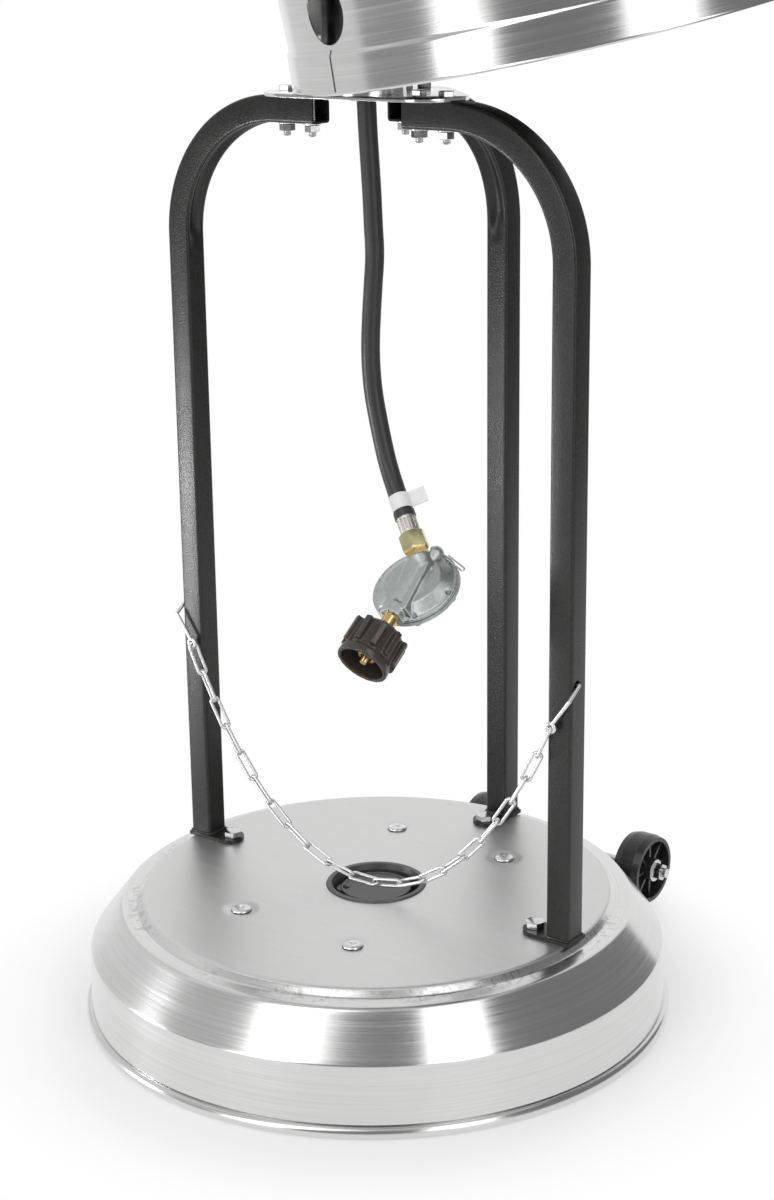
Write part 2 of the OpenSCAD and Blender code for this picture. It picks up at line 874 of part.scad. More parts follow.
// Chain
module chain_link() {
    end = link_l / 2 - link_w / 2;
    bar = link_w / 2 - link_wire / 2;
    for (s = [-1, 1]) {
        translate([-end, s * bar, 0]) rotate([0, 90, 0]) cylinder(d = link_wire, h = 2 * end, $fn = 24);
        translate([s * end, 0, 0]) rotate([0, 0, s * 90 - 180])
            rotate_extrude(angle = 180) translate([bar, 0]) circle(d = link_wire, $fn = 24);
    }
}

// Place children on the hanging line at arc length s, with x along the chain
module on_chain(s) {
    translate(chain_point(s))
        rotate([0, -atan(s / chain_a), 0]) children();
}

module chain_links() {
    color("gainsboro")
    for (i = [0:link_count - 1])
        on_chain((i - (link_count - 1) / 2) * link_pitch)
            rotate([chain_roll + (i % 2) * 90, 0, 0]) chain_link();
}

// The hook's eye sits one wire past the chain's end; its wire goes round the leg's corner into the hole
module hook() {
    eye_s = link_end_s;
    lift = atan(eye_s / chain_a);
    eye = chain_point(eye_s);
    face_x = leg_r + tube_w / 2 + hook_wire / 2 + clear;
    hole = [face_x, hook_y, hook_z];
    corner = [face_x, chain_y, eye[2] + hook_shoulder * (hook_z - eye[2])];
    start = eye + eye_r * [cos(lift), 0, sin(lift)];
    inside = hole - [tube_wall + hook_in, 0, 0];
    wire_path([inside, hole, corner, start], hook_wire);
    translate(eye) rotate([90, 0, 0]) rotate_extrude() translate([eye_r, 0])
        circle(d = hook_wire + 2 * ball_over, $fn = 24);
}

module right_hook() {
    color("gainsboro") hook();
}

module left_hook() {
    color("gainsboro") mirror([1, 0, 0]) hook();
}

// Wheels
module at_bracket_bolt(s) {
    translate([s * bracket_bolt_x, base_d / 2, bracket_z0 + bracket_h / 2]) rotate([90, 0, 0]) children();
}

module wheel_bracket() {
    web_y = wall_r + clear;
    color("gray")
    difference() {
        union() {
            translate([-ear_x - ear_t, web_y, bracket_z0]) cube([2 * (ear_x + ear_t), ear_t, bracket_h]);
            for (s = [-1, 1]) translate([s * (ear_x + ear_t / 2), 0, 0]) {
                translate([-ear_t / 2, wall_r - 14, bracket_z0]) cube([ear_t, 16, bracket_h]);
                translate([-ear_t / 2, web_y, axle_z - 11]) cube([ear_t, axle_y - web_y, 22]);
                translate([-ear_t / 2, axle_y, axle_z]) rotate([0, 90, 0]) cylinder(d = 22, h = ear_t);
            }
        }
        translate([0, 0, -1]) cylinder(r = wall_r + clear, h = base_h);
        translate([-track, axle_y, axle_z]) rotate([0, 90, 0])
            cylinder(d = axle_d + 2 * running, h = 2 * track);
        for (s = [-1, 1]) at_bracket_bolt(s) cylinder(d = m6[0] + bolt_play, h = 60, center = true);
    }
}

module bracket_bolts() {
    web_back = wall_r + clear + ear_t;
    length = ear_t + clear + base_sheet + 8;
    color("gainsboro")
    for (s = [-1, 1])
        translate([s * bracket_bolt_x, web_back, bracket_z0 + bracket_h / 2]) rotate([-90, 0, 0])
            hex_bolt(m6, length);
}

module axle() {
    half = track / 2 + wheel_w / 2 + clear + washer_t + axle_nut_h + axle_tip;
    color("gainsboro") translate([-half, axle_y, axle_z]) rotate([0, 90, 0])
        cylinder(d = axle_d, h = 2 * half);
}

// Wheel along z, its ribbed outer side up
module wheel() {
    half = wheel_w / 2;
    crown = 1.5;
    difference() {
        union() {
            rotate_extrude() polygon([
                [wheel_d / 2 - wheel_rim, -half],
                [wheel_d / 2 - crown, -half],
                [wheel_d / 2, -half / 2],
                [wheel_d / 2, half / 2],
                [wheel_d / 2 - crown, half],
                [wheel_d / 2 - wheel_rim, half]
            ]);
            translate([0, 0, -wheel_web / 2]) cylinder(r = wheel_d / 2 - wheel_rim + 1, h = wheel_web);
            translate([0, 0, -half]) cylinder(d = hub_d, h = wheel_w);
            for (k = [0:rib_count - 1])
                rotate([0, 0, 360 * k / rib_count]) translate([hub_d / 2 - 1, -1.2, -half + 4])
                    cube([wheel_d / 2 - wheel_rim - hub_d / 2 + 2, 2.4, wheel_w - 8]);
        }
        translate([0, 0, -wheel_w]) cylinder(d = axle_d + 2 * running, h = 2 * wheel_w);
    }
}

module right_wheel() {
    color([0.1, 0.1, 0.1]) translate([track / 2, axle_y, axle_z]) rotate([0, 90, 0]) wheel();
}

module left_wheel() {
    color([0.1, 0.1, 0.1]) translate([-track / 2, axle_y, axle_z]) rotate([0, -90, 0]) wheel();
}

// Outward along the axle on both sides, starting at a distance x
module at_axle(x) {
    for (s = [-1, 1]) translate([s * x, axle_y, axle_z]) rotate([0, s * 90, 0]) children();
}

module axle_washers() {
    color("gainsboro") at_axle(track / 2 + wheel_w / 2 + clear)
        ring(washer_d, axle_d + 2 * running, washer_t);
}

module axle_nuts() {
    color("gainsboro") at_axle(track / 2 + wheel_w / 2 + clear + washer_t)
        hex_nut(axle_nut_af, axle_d, axle_nut_h);
}

// Tank cover
module at_cover() {
    translate([0, 0, cover_pivot_z]) rotate([0, 0, cover_heading]) rotate([0, -cover_tilt, 0]) children();
}

module cover_shell() {
    wall = [
        [cover_r, -cover_h],
        [cover_waist_r, -cover_h + hem_h],
        [cover_top_r, 0]
    ];
    color("silver")
    at_cover() difference() {
        union() {
            rotate_extrude() polygon(sheet(wall, cover_sheet));
            rotate([0, 0, hand_hole_at - seam_turn]) rotate_extrude(angle = seam_turn)
                polygon(sheet([for (p = wall) p - [eps, 0]], -seam_t));
        }
        for (a = [0, 180])
            rotate([0, 0, hand_hole_at + a]) translate([0, 0, hand_hole_up - cover_h])
                rotate([0, 90, 0]) cylinder(d = hand_hole_d, h = cover_d);
    }
}

module cover_lid() {
    flange_r = cover_top_r - cover_sheet - clear;
    color("silver")
    at_cover() difference() {
        union() {
            cylinder(r = cover_top_r, h = cover_sheet);
            translate([0, 0, -lid_flange])
                ring(2 * flange_r, 2 * (flange_r - cover_sheet), lid_flange + eps);
        }
        translate([0, 0, -1]) cylinder(r = lid_hole_r, h = 3);
    }
}

module cover_bush() {
    bore = post_d + 2 * running;
    core_r = post_d / 2 + bush_wall;
    color([0.15, 0.15, 0.15])
    translate([0, 0, cover_pivot_z]) {
        translate([0, 0, -bush_half - eps]) ring(2 * core_r, bore, 2 * bush_half + 2 * eps);
        for (s = [-1, 1])
            translate([0, 0, s > 0 ? bush_half : -bush_half - bush_flange_t])
                ring(2 * bush_flange_r, bore, bush_flange_t);
    }
}

// Head
module head_plate() {
    color("silver")
    translate([0, 0, post_top]) difference() {
        cylinder(d = housing_d, h = head_plate_t);
        translate([hose_x, hose_y, -1]) cylinder(d = riser_hole_d, h = head_plate_t + 2);
    }
}

module control_housing() {
    color("silver")
    difference() {
        translate([0, 0, housing_z]) ring(housing_d, housing_d - 2 * housing_wall, housing_h);
        translate([0, -housing_d / 2, panel_z]) cube([panel_w - 12, 60, panel_h - 12], center = true);
    }
}

module control_panel() {
    front_y = panel_y - panel_d / 2;
    color([0.13, 0.13, 0.13])
    difference() {
        translate([0, panel_y + 10, panel_z]) cube([panel_w, panel_d + 20, panel_h], center = true);
        translate([0, panel_y + 10 + panel_wall, panel_z])
            cube([panel_w - 2 * panel_wall, panel_d + 20, panel_h - 2 * panel_wall], center = true);
        translate([0, 0, panel_z - panel_h]) cylinder(d = housing_d + clear, h = 2 * panel_h);
        translate([knob_x, front_y - 1, panel_z]) rotate([-90, 0, 0]) cylinder(d = stem_d + 4, h = 10);
        translate([igniter_x, front_y - 1, panel_z]) rotate([-90, 0, 0])
            cylinder(d = igniter_neck_d + bolt_play, h = 10);
    }
}

module gas_valve() {
    back = panel_y - panel_d / 2 + panel_wall + 8;
    pipe_y = back + valve_size[1] - 10;
    color("darkgray")
    difference() {
        union() {
            translate([knob_x - valve_size[0] / 2, back, panel_z - valve_size[2] / 2]) cube(valve_size);
            translate([knob_x, pipe_y, panel_z]) cylinder(d = 16, h = 50);
            translate([knob_x, pipe_y, housing_z]) cylinder(d = 12, h = panel_z - housing_z);
        }
        translate([knob_x, back - 1, panel_z]) rotate([-90, 0, 0])
            cylinder(d = stem_d + 2 * running, h = 26);
    }
}

module valve_stem() {
    front = panel_y - panel_d / 2 - knob_gap - knob_h + 5;
    color("gainsboro") translate([knob_x, front, panel_z]) rotate([-90, 0, 0])
        cylinder(d = stem_d, h = stem_l);
}

module control_knob() {
    front = panel_y - panel_d / 2 - knob_gap - knob_h;
    color([0.08, 0.08, 0.08])
    translate([knob_x, front, panel_z]) rotate([-90, 0, 0]) difference() {
        union() {
            cylinder(d1 = knob_d - 3, d2 = knob_d, h = knob_h);
            translate([0, 0, knob_h - knob_skirt_h])
                cylinder(d1 = knob_d, d2 = knob_skirt_d, h = knob_skirt_h);
            translate([-5, -knob_d / 2 + 1, -6]) cube([10, knob_d - 2, 7]);
        }
        translate([0, 0, 5]) cylinder(d = stem_d + 2 * running, h = knob_h);
    }
}

module igniter_body() {
    bore = igniter_cap_d + 2 * running;
    color([0.1, 0.1, 0.1])
    translate([igniter_x, panel_y - panel_d / 2, panel_z]) rotate([-90, 0, 0]) {
        translate([0, 0, -2]) ring(igniter_d, bore, 2);
        translate([0, 0, -1]) ring(igniter_neck_d, bore, panel_wall + 16);
        translate([0, 0, panel_wall]) ring(igniter_d, bore, 5);
        translate([0, 0, panel_wall + 14]) cylinder(d = igniter_neck_d, h = 14);
    }
}

module igniter_button() {
    front_y = panel_y - panel_d / 2;
    color([0.7, 0.1, 0.08])
    translate([igniter_x, front_y - 2 - igniter_travel - 1, panel_z]) rotate([-90, 0, 0])
        cylinder(d = igniter_cap_d, h = igniter_travel + 3 + panel_wall + 14 - igniter_travel - 1);
}

module tilt_switch() {
    color([0.2, 0.2, 0.2]) translate([40, 20, housing_z]) cube([28, 22, 30]);
}

module burner() {
    color("dimgray")
    translate([0, 0, emitter_z]) difference() {
        union() {
            cylinder(d = burner_d, h = burner_h);
            translate([0, 0, burner_h - eps]) cylinder(d1 = burner_d, d2 = burner_d - 40, h = 12);
        }
        translate([0, 0, -1]) cylinder(d = burner_d - 6, h = burner_h - 4);
    }
}

module pilot_tube() {
    color("silver") translate([burner_d / 2 + 8, -14, emitter_z]) cylinder(d = 6, h = burner_h + 20);
}

module thermocouple() {
    color([0.72, 0.45, 0.2]) translate([burner_d / 2 + 8, 0, emitter_z]) cylinder(d = 5, h = burner_h + 24);
}

module emitter_base() {
    color("silver")
    translate([0, 0, emitter_z - 3]) difference() {
        cylinder(r = emitter_base_r, h = 3);
        translate([0, 0, -1]) cylinder(d = burner_d - 20, h = 5);
    }
}

module emitter_screen() {
    wall = [[emitter_d / 2, 0], [emitter_top_d / 2, emitter_h]];
    color("lightgray")
    translate([0, 0, emitter_z]) {
        rotate_extrude() polygon(sheet(wall, emitter_sheet));
        translate([0, 0, emitter_h - eps]) cylinder(r = emitter_cap_r, h = emitter_cap_t + eps);
    }
}

module at_rods() {
    for (k = [0:rod_count - 1]) rotate([0, 0, 90 + 360 * k / rod_count]) translate([rod_ring_r, 0, 0])
        children();
}

module reflector_rods() {
    foot = emitter_z + emitter_h + emitter_cap_t;
    color("gainsboro")
    at_rods() translate([0, 0, foot]) {
        cylinder(d = rod_d, h = reflector_gap);
        translate([0, 0, reflector_gap - eps]) cylinder(d = 6, h = reflector_sheet + wing_nut_h - 3);
    }
}

module reflector() {
    half = reflector_d / 2;
    steps = 8;
    dome = concat(
        [[0, 0], [crown_r, 0]],
        [for (i = [1:steps]) let (u = i / steps) [crown_r + (half - crown_r) * u, -reflector_rise * u * u]],
        [[half, -reflector_rise - reflector_lip]]
    );
    color("lightgray")
    translate([0, 0, crown_z + reflector_sheet]) difference() {
        rotate_extrude() polygon(sheet(dome, -reflector_sheet));
        at_rods() translate([0, 0, -reflector_sheet - 1])
            cylinder(d = 6 + bolt_play, h = reflector_sheet + 2);
    }
}

module reflector_nuts() {
    color("gainsboro")
    at_rods() translate([0, 0, crown_z + reflector_sheet]) {
        ring(14, 6 + 2 * running, wing_nut_h - 4);
        for (s = [-1, 1])
            translate([s * 11, 0, wing_nut_h / 2]) cube([10, 3, wing_nut_h], center = true);
    }
}

base_shell();
water_tank();
plateau_screws();
filler_dish();
filler_cap();
left_leg();
right_leg();
rear_leg();
foot_plates();
foot_bolts();
foot_nuts();
top_plate();
plate_bolts();
plate_nuts();
post();
hose_grommet();
hose();
riser_hose();
hose_label();
hose_collar();
hose_ferrule();
swivel_nut();
outlet_adapter();
regulator_body();
regulator_cover();
regulator_screws();
vent_wire();
inlet_nipple();
inlet_tip();
hand_nut();
chain_links();
left_hook();
right_hook();
wheel_bracket();
bracket_bolts();
axle();
left_wheel();
right_wheel();
axle_washers();
axle_nuts();
cover_shell();
cover_lid();
cover_bush();
head_plate();
control_housing();
control_panel();
gas_valve();
valve_stem();
control_knob();
igniter_body();
igniter_button();
tilt_switch();
burner();
pilot_tube();
thermocouple();
emitter_base();
emitter_screen();
reflector_rods();
reflector();
reflector_nuts();
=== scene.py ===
import json
import math

import bmesh
import bpy
from mathutils import Matrix, Vector


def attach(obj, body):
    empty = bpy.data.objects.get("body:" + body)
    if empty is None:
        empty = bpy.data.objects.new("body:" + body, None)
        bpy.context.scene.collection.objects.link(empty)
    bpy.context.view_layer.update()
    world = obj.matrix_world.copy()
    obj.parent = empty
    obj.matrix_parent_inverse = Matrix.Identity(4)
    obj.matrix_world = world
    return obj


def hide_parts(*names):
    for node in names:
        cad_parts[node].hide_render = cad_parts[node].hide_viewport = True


bl_info = {
    "name": "Patio heater",
    "version": (1, 0, 0),
    "blender": (4, 5, 0),
    "location": "View3D > Sidebar > Heater",
    "description": "Dresses the packed frame of a patio heater and lights it",
    "category": "Object",
}

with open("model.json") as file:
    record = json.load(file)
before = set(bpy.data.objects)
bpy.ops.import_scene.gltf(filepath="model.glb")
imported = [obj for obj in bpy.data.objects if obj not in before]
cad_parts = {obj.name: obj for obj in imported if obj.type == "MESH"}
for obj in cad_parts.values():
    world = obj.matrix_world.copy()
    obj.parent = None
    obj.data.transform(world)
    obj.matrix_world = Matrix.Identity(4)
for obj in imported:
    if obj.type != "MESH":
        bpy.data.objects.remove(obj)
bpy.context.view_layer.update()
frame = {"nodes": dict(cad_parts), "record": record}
NODES = frame["nodes"]
SLOT_OF = {part["node"]: part["material_slot"] for part in frame["record"]["subparts"]}
BODIES = frame["record"]["behaviour"]["bodies"]
BODY_OF = {node: body for body, nodes in BODIES.items() for node in nodes}
MM = 0.001

# Sizes that several pieces share, in millimetres
DECK_Z = 94
FOOT_TOP = DECK_Z + 3
LEG_TOP = 697
TUBE = 20
PLATE = 2.5
SCREW_PLACES = [(x, y) for x in (-54, 54) for y in (-99, 99)]

# Placement of the leaned tank cover: its lid's centre is the origin, and its axis the local Z
COVER_PLACE = (
    Matrix.Translation((0, 0, 1427.19 * MM))
    @ Matrix.Rotation(math.radians(44), 4, "Z")
    @ Matrix.Rotation(math.radians(-12.3), 4, "Y")
)
FINISHES = {}
SINGLE_FINISH = {
    "regulator_screws": "die_cast",
    # The ferrule's finish carries a painted reflection of the yellow nut as a warm tint.
    "hose_ferrule": "crimped_zinc",
    "chain_links": "dull_zinc",
    "left_hook": "dull_zinc",
    "right_hook": "dull_zinc",
    "filler_dish": "dull_plastic",
    "filler_cap": "dull_plastic",
    "hand_nut": "grip_plastic",
}


class Value:
    """A node's output whose operators add Math nodes."""

    def __init__(self, tree, socket):
        self.tree = tree
        self.socket = socket

    def _math(self, operation, first, second):
        return self.tree.node("ShaderNodeMath", {"operation": operation}, {0: first, 1: second})["Value"]

    def __add__(self, other):
        return self._math("ADD", self, other)

    def __radd__(self, other):
        return self._math("ADD", other, self)

    def __sub__(self, other):
        return self._math("SUBTRACT", self, other)

    def __rsub__(self, other):
        return self._math("SUBTRACT", other, self)

    def __mul__(self, other):
        return self._math("MULTIPLY", self, other)

    def __truediv__(self, other):
        return self._math("DIVIDE", self, other)

    def __pow__(self, other):
        return self._math("POWER", self, other)


class Outputs:
    """The outputs of one node, by name or number."""

    def __init__(self, tree, made):
        self.tree = tree
        self.made = made

    def __getitem__(self, key):
        return Value(self.tree, self.made.outputs[key])


class Tree:
    """A node tree whose nodes come from one method."""

    def __init__(self, nodes):
        self.nodes = nodes

    def put(self, socket, value):
        """Links a value to a socket, or sets the socket to a plain one."""
        if isinstance(value, Value):
            self.nodes.links.new(value.socket, socket)
        else:
            socket.default_value = value

    def node(self, kind, settings=None, sockets=None):
        """Adds a node with its settings and inputs and gives its outputs."""
        made = self.nodes.nodes.new(kind)
        for name, value in (settings or {}).items():
            setattr(made, name, value)
        for key, value in (sockets or {}).items():
            self.put(made.inputs[key], value)
        return Outputs(self, made)


class Finish(Tree):
    """A material with one Principled shader."""

    def __init__(self, name, sockets):
        self.material = bpy.data.materials.new(name)
        self.material.use_nodes = True
        super().__init__(self.material.node_tree)
        self.shader = self.material.node_tree.nodes["Principled BSDF"]
        self.set(sockets)

    def set(self, sockets):
        for key, value in sockets.items():
            self.put(self.shader.inputs[key], value)

    def place(self, stretch=(1, 1, 1), turn=(0, 0, 0), shift=(0, 0, 0)):
        """Object coordinates, in metres, turned, shifted and stretched."""
        at = self.node("ShaderNodeTexCoord")["Object"]
        sockets = {"Vector": at, "Location": shift, "Rotation": turn, "Scale": stretch}
        return self.node("ShaderNodeMapping", None, sockets)["Vector"]

    def noise(self, vector, scale, detail=2.0, roughness=0.5):
        sockets = {"Vector": vector, "Scale": scale, "Detail": detail, "Roughness": roughness}
        return self.node("ShaderNodeTexNoise", None, sockets)["Fac"]

    def mix(self, factor, first, second):
        sockets = {0: factor, 6: first, 7: second}
        return self.node("ShaderNodeMix", {"data_type": "RGBA"}, sockets)[2]

    def bump(self, height, strength, distance):
        sockets = {"Height": height, "Strength": strength, "Distance": distance}
        return self.node("ShaderNodeBump", None, sockets)["Normal"]


class Growth(Tree):
    """A Geometry Nodes tree with named inputs."""

    def __init__(self, name, inputs):
        group = bpy.data.node_groups.new(name, "GeometryNodeTree")
        super().__init__(group)
        group.interface.new_socket("Geometry", in_out="INPUT", socket_type="NodeSocketGeometry")
        for label, kind in inputs.items():
            group.interface.new_socket(label, in_out="INPUT", socket_type=kind)
        group.interface.new_socket("Geometry", in_out="OUTPUT", socket_type="NodeSocketGeometry")
        self.given = self.node("NodeGroupInput")

    def close(self, geometry, finish):
        real = self.node("GeometryNodeRealizeInstances", None, {0: geometry})[0]
        sockets = {"Geometry": real, "Material": FINISHES[finish]}
        dressed = self.node("GeometryNodeSetMaterial", None, sockets)["Geometry"]
        self.node("NodeGroupOutput", None, {0: dressed})

    def grown(self, start, values):
        """The plain mesh that the tree makes from a start mesh."""
        holder = linked("holder", start)
        modifier = holder.modifiers.new("growth", "NODES")
        modifier.node_group = self.nodes
        for item in self.nodes.interface.items_tree:
            if item.in_out == "INPUT" and item.name in values:
                modifier[item.identifier] = values[item.name]
        return applied(holder)


def linked(name, data):
    """A new object in the scene."""
    made = bpy.data.objects.new(name, data)
    bpy.context.scene.collection.objects.link(made)
    return made


def applied(holder):
    """The plain mesh of an object with its modifiers applied; the object itself is removed."""
    bpy.context.view_layer.update()
    graph = bpy.context.evaluated_depsgraph_get()
    mesh = bpy.data.meshes.new_from_object(holder.evaluated_get(graph))
    bpy.data.objects.remove(holder)
    return mesh


def around_axis(finish, vector, turns, fine):
    """Coordinates in which lines run round Z: slow round the axis, fine along it and outwards."""
    split = finish.node("ShaderNodeSeparateXYZ", None, {0: vector})
    x, y, z = split["X"], split["Y"], split["Z"]
    radius = (x * x + y * y) ** 0.5 + 1e-5
    sockets = {"X": x / radius * turns, "Y": y / radius * turns, "Z": z * fine}
    return finish.node("ShaderNodeCombineXYZ", None, sockets)["Vector"], radius * fine


def eased(finish, value, low, high, top=1.0):
    """0 below low, top above high, and smooth between them."""
    limits = {"Value": value, "From Min": low, "From Max": high, "To Max": top}
    return finish.node("ShaderNodeMapRange", {"interpolation_type": "SMOOTHSTEP"}, limits)["Result"]


def shades(colour, share):
    """A colour and a darker share of it, as socket values."""
    return (*(tone * share for tone in colour), 1), (*colour, 1)


def spun_steel(name, colour, dark, roughness, turn=(0, 0, 0), shift=(0, 0, 0), ledge=None, across=0.0):
    """Sheet metal with fine lines that run round its axis, and grime on its ledge."""
    finish = Finish(name, {"Metallic": 1.0, "Anisotropic": across, "Anisotropic Rotation": 0.25})
    at = finish.place(turn=turn, shift=shift)
    vector, outward = around_axis(finish, at, 1.3, 800.0)
    sockets = {"Vector": vector, "W": outward, "Scale": 1.0, "Detail": 3.0, "Roughness": 0.7}
    lines = finish.node("ShaderNodeTexNoise", {"noise_dimensions": "4D"}, sockets)["Fac"]
    clouds = finish.noise(at, 9.0, 3.0, 0.55)
    stains = 0.0
    if ledge:
        height = finish.node("ShaderNodeSeparateXYZ", None, {0: at})["Z"]
        above = eased(finish, height, ledge - 0.0015, ledge)
        below = 1 - eased(finish, height, ledge + 0.004, ledge + 0.0055)
        specks = eased(finish, finish.noise(at, 190.0, 5.0, 0.75), 0.5, 0.58)
        patches = eased(finish, finish.noise(at, 11.0, 2.0, 0.5), 0.46, 0.6)
        stains = above * below * patches * specks * 0.6
    finish.set(
        {
            "Base Color": finish.mix(lines * 0.7 + clouds * 0.3 - stains, *shades(colour, dark)),
            "Roughness": roughness + (lines - 0.5) * 0.22 + (clouds - 0.5) * 0.06,
            "Normal": finish.bump(lines, 0.12, 0.0003),
        }
    )
    return finish.material


def grained_steel(name, colour, dark, roughness, stretch, turn=(0, 0, 0)):
    """Sheet metal with a straight brushed grain."""
    finish = Finish(name, {"Metallic": 1.0})
    at = finish.place(stretch, turn)
    lines = finish.noise(at, 1.0, 4.0, 0.62)
    clouds = finish.noise(finish.place(), 7.0, 3.0, 0.5)
    finish.set(
        {
            "Base Color": finish.mix(lines * 0.7 + clouds * 0.3, *shades(colour, dark)),
            "Roughness": roughness + (lines - 0.5) * 0.16 + (clouds - 0.5) * 0.08,
            "Normal": finish.bump(lines, 0.08, 0.0003),
        }
    )
    return finish.material


def plated(name, colour, dark, roughness, mottling=70.0, depth=0.12):
    """Plating or cast metal with a soft mottle and fine scuffs."""
    finish = Finish(name, {"Metallic": 1.0})
    at = finish.place()
    mottle = finish.noise(at, mottling, 3.0, 0.6)
    scuffs = finish.noise(at, 900.0, 3.0, 0.6)
    finish.set(
        {
            "Base Color": finish.mix(mottle, *shades(colour, dark)),
            "Roughness": roughness + (mottle - 0.5) * 0.16 + (scuffs - 0.5) * 0.1,
            "Normal": finish.bump(scuffs, depth, 0.0003),
        }
    )
    return finish.material


def grained(name, colour, dark, roughness, grain, strength, depth):
    """Coat, plastic, rubber or film with a fine grain and broad, faint patches."""
    finish = Finish(name, {"Metallic": 0.0})
    at = finish.place()
    pits = finish.noise(at, grain, 2.0, 0.5)
    flecks = eased(finish, pits, 0.35, 0.65)
    broad = finish.noise(at, 24.0, 3.0, 0.55)
    finish.set(
        {
            "Base Color": finish.mix(flecks * 0.7 + broad * 0.3, *shades(colour, dark)),
            "Roughness": roughness + (pits - 0.5) * 0.2 + (broad - 0.5) * 0.12,
            "Normal": finish.bump(pits, strength, depth),
        }
    )
    return finish.material


def make_finishes(colours):
    """One finish for each of the record's slots, and a few for single pieces."""
    lean = COVER_PLACE.inverted()
    lean_turn, lean_shift = tuple(lean.to_euler()), tuple(lean.to_translation())
    steel, coat, plastic, hose = colours.steel, colours.coat, colours.plastic, colours.hose
    zinc, gold, brass, casting = colours.zinc, colours.gold, colours.brass, colours.casting
    still = (0, 0, 0)
    recipes = {
        "brushed_skin": (spun_steel, steel, 0.62, 0.22, still, still, 88.5 * MM, 0.7),
        "brushed_cover": (spun_steel, steel, 0.6, 0.18, lean_turn, lean_shift),
        # The deck's colour is a darker copy of the steel as painted shade for the dimmer surroundings
        # the top reflects; its dull straight grain is real.
        "brushed_deck": (grained_steel, colours.deck, 0.8, 0.43, (14, 420, 420), (0, 0, 0.25)),
        "polished_skin": (grained_steel, steel, 0.85, 0.14, (60, 1800, 1800)),
        "sheet_aluminium": (spun_steel, colours.aluminium, 0.83, 0.36),
        "zinc_plate": (plated, zinc, 0.55, 0.2, 260.0),
        "dull_zinc": (plated, zinc, 0.82, 0.34),
        # Grey zinc of the ferrule with a warm tint that is a painted reflection of the yellow swivel
        # nut.
        "crimped_zinc": (plated, (0.66, 0.64, 0.6), 0.7, 0.4),
        "yellow_zinc": (plated, gold, 0.86, 0.16, 70.0, 0.04),
        "brass": (plated, brass, 0.78, 0.22),
        "die_cast": (plated, casting, 0.62, 0.42, 260.0, 0.3),
        "black_coat": (grained, coat, 0.3, 0.32, 820.0, 0.42, 0.0004),
        "hose_rubber": (grained, hose, 0.6, 0.38, 1300.0, 0.3, 0.0004),
        "black_plastic": (grained, plastic, 0.42, 0.27, 900.0, 0.1, 0.0003),
        "dull_plastic": (grained, colours.moulding, 0.62, 0.38, 900.0, 0.1, 0.0003),
        "grip_plastic": (grained, colours.grip, 0.6, 0.22, 900.0, 0.08, 0.0003),
        "red_plastic": (grained, (0.48, 0.03, 0.024), 0.82, 0.3, 1500.0, 0.1, 0.0002),
        "tank_plastic": (grained, (0.05, 0.05, 0.05), 0.7, 0.5, 700.0, 0.25, 0.0005),
        "label_film": (grained, (0.82, 0.82, 0.815), 0.9, 0.35, 900.0, 0.1, 0.0002),
    }
    for name, (maker, *values) in recipes.items():
        FINISHES[name] = maker(name, *values)


def shown(name, mesh, slot, body, replaced, finish=None, sharp=35):
    """Links a mesh as a piece that rides on a body and stands for CAD nodes."""
    mesh.name = name
    mesh.shade_smooth()
    mesh.set_sharp_from_angle(angle=math.radians(sharp))
    mesh.materials.clear()
    mesh.materials.append(FINISHES[finish or slot])
    piece = linked(name, mesh)
    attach(piece, body)
    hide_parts(*replaced)
    return piece


def mesh_from(bm):
    """A mesh of a bmesh, which is freed."""
    mesh = bpy.data.meshes.new("piece")
    bm.to_mesh(mesh)
    bm.free()
    return mesh


def rounded(points, radii, steps=6):
    """An open path, in millimetres, with its inner corners rounded."""
    path = [Vector(points[0])]
    for before, corner, after, radius in zip(points, points[1:], points[2:], radii):
        corner = Vector(corner)
        back = (Vector(before) - corner).normalized()
        ahead = (Vector(after) - corner).normalized()
        half = back.angle(ahead) / 2
        centre = corner + (back + ahead).normalized() * radius / math.sin(half)
        start = corner + back * radius / math.tan(half) - centre
        end = corner + ahead * radius / math.tan(half) - centre
        path += [centre + start.slerp(end, i / steps) * radius for i in range(steps + 1)]
    path.append(Vector(points[-1]))
    return path


def beside(path, gap):
    """The path moved to its left by a gap."""
    moved = []
    for i, point in enumerate(path):
        along = (path[min(i + 1, len(path) - 1)] - path[max(i - 1, 0)]).normalized()
        moved.append(point + Vector((-along.y, along.x)) * gap)
    return moved


def filled(path, step):
    """The path with more points on its long runs."""
    dense = []
    for start, end in zip(path, path[1:]):
        parts = max(1, math.ceil((end - start).length / step))
        dense += [start.lerp(end, i / parts) for i in range(parts)]
    return dense + [path[-1]]


def lathe(outline, steps, bm=None):
    """Spins a closed outline of radius and height, in millimetres, about Z."""
    bm = bm or bmesh.new()
    rings = []
    for i in range(steps):
        turn = 2 * math.pi * i / steps
        aim = Vector((math.cos(turn), math.sin(turn), 0))
        rings.append([bm.verts.new((aim * p[0] + Vector((0, 0, p[1]))) * MM) for p in outline])
    for i, left in enumerate(rings):
        right = rings[(i + 1) % steps]
        for j in range(len(outline)):
            k = (j + 1) % len(outline)
            if outline[j][0] or outline[k][0]:
                bm.faces.new((left[j], right[j], right[k], left[k]))
    bmesh.ops.remove_doubles(bm, verts=bm.verts, dist=1e-6)
    bmesh.ops.recalc_face_normals(bm, faces=bm.faces)
    return bm


def drill(diameter, depth, place, segments):
    """A round cutter along the X axis of a place."""
    bm = bmesh.new()
    radius = diameter / 2 * MM
    bmesh.ops.create_cone(
        bm, cap_ends=True, segments=segments, radius1=radius, radius2=radius, depth=depth * MM
    )
    bmesh.ops.transform(bm, matrix=place @ Matrix.Rotation(math.pi / 2, 4, "Y"), verts=bm.verts)
    return bm


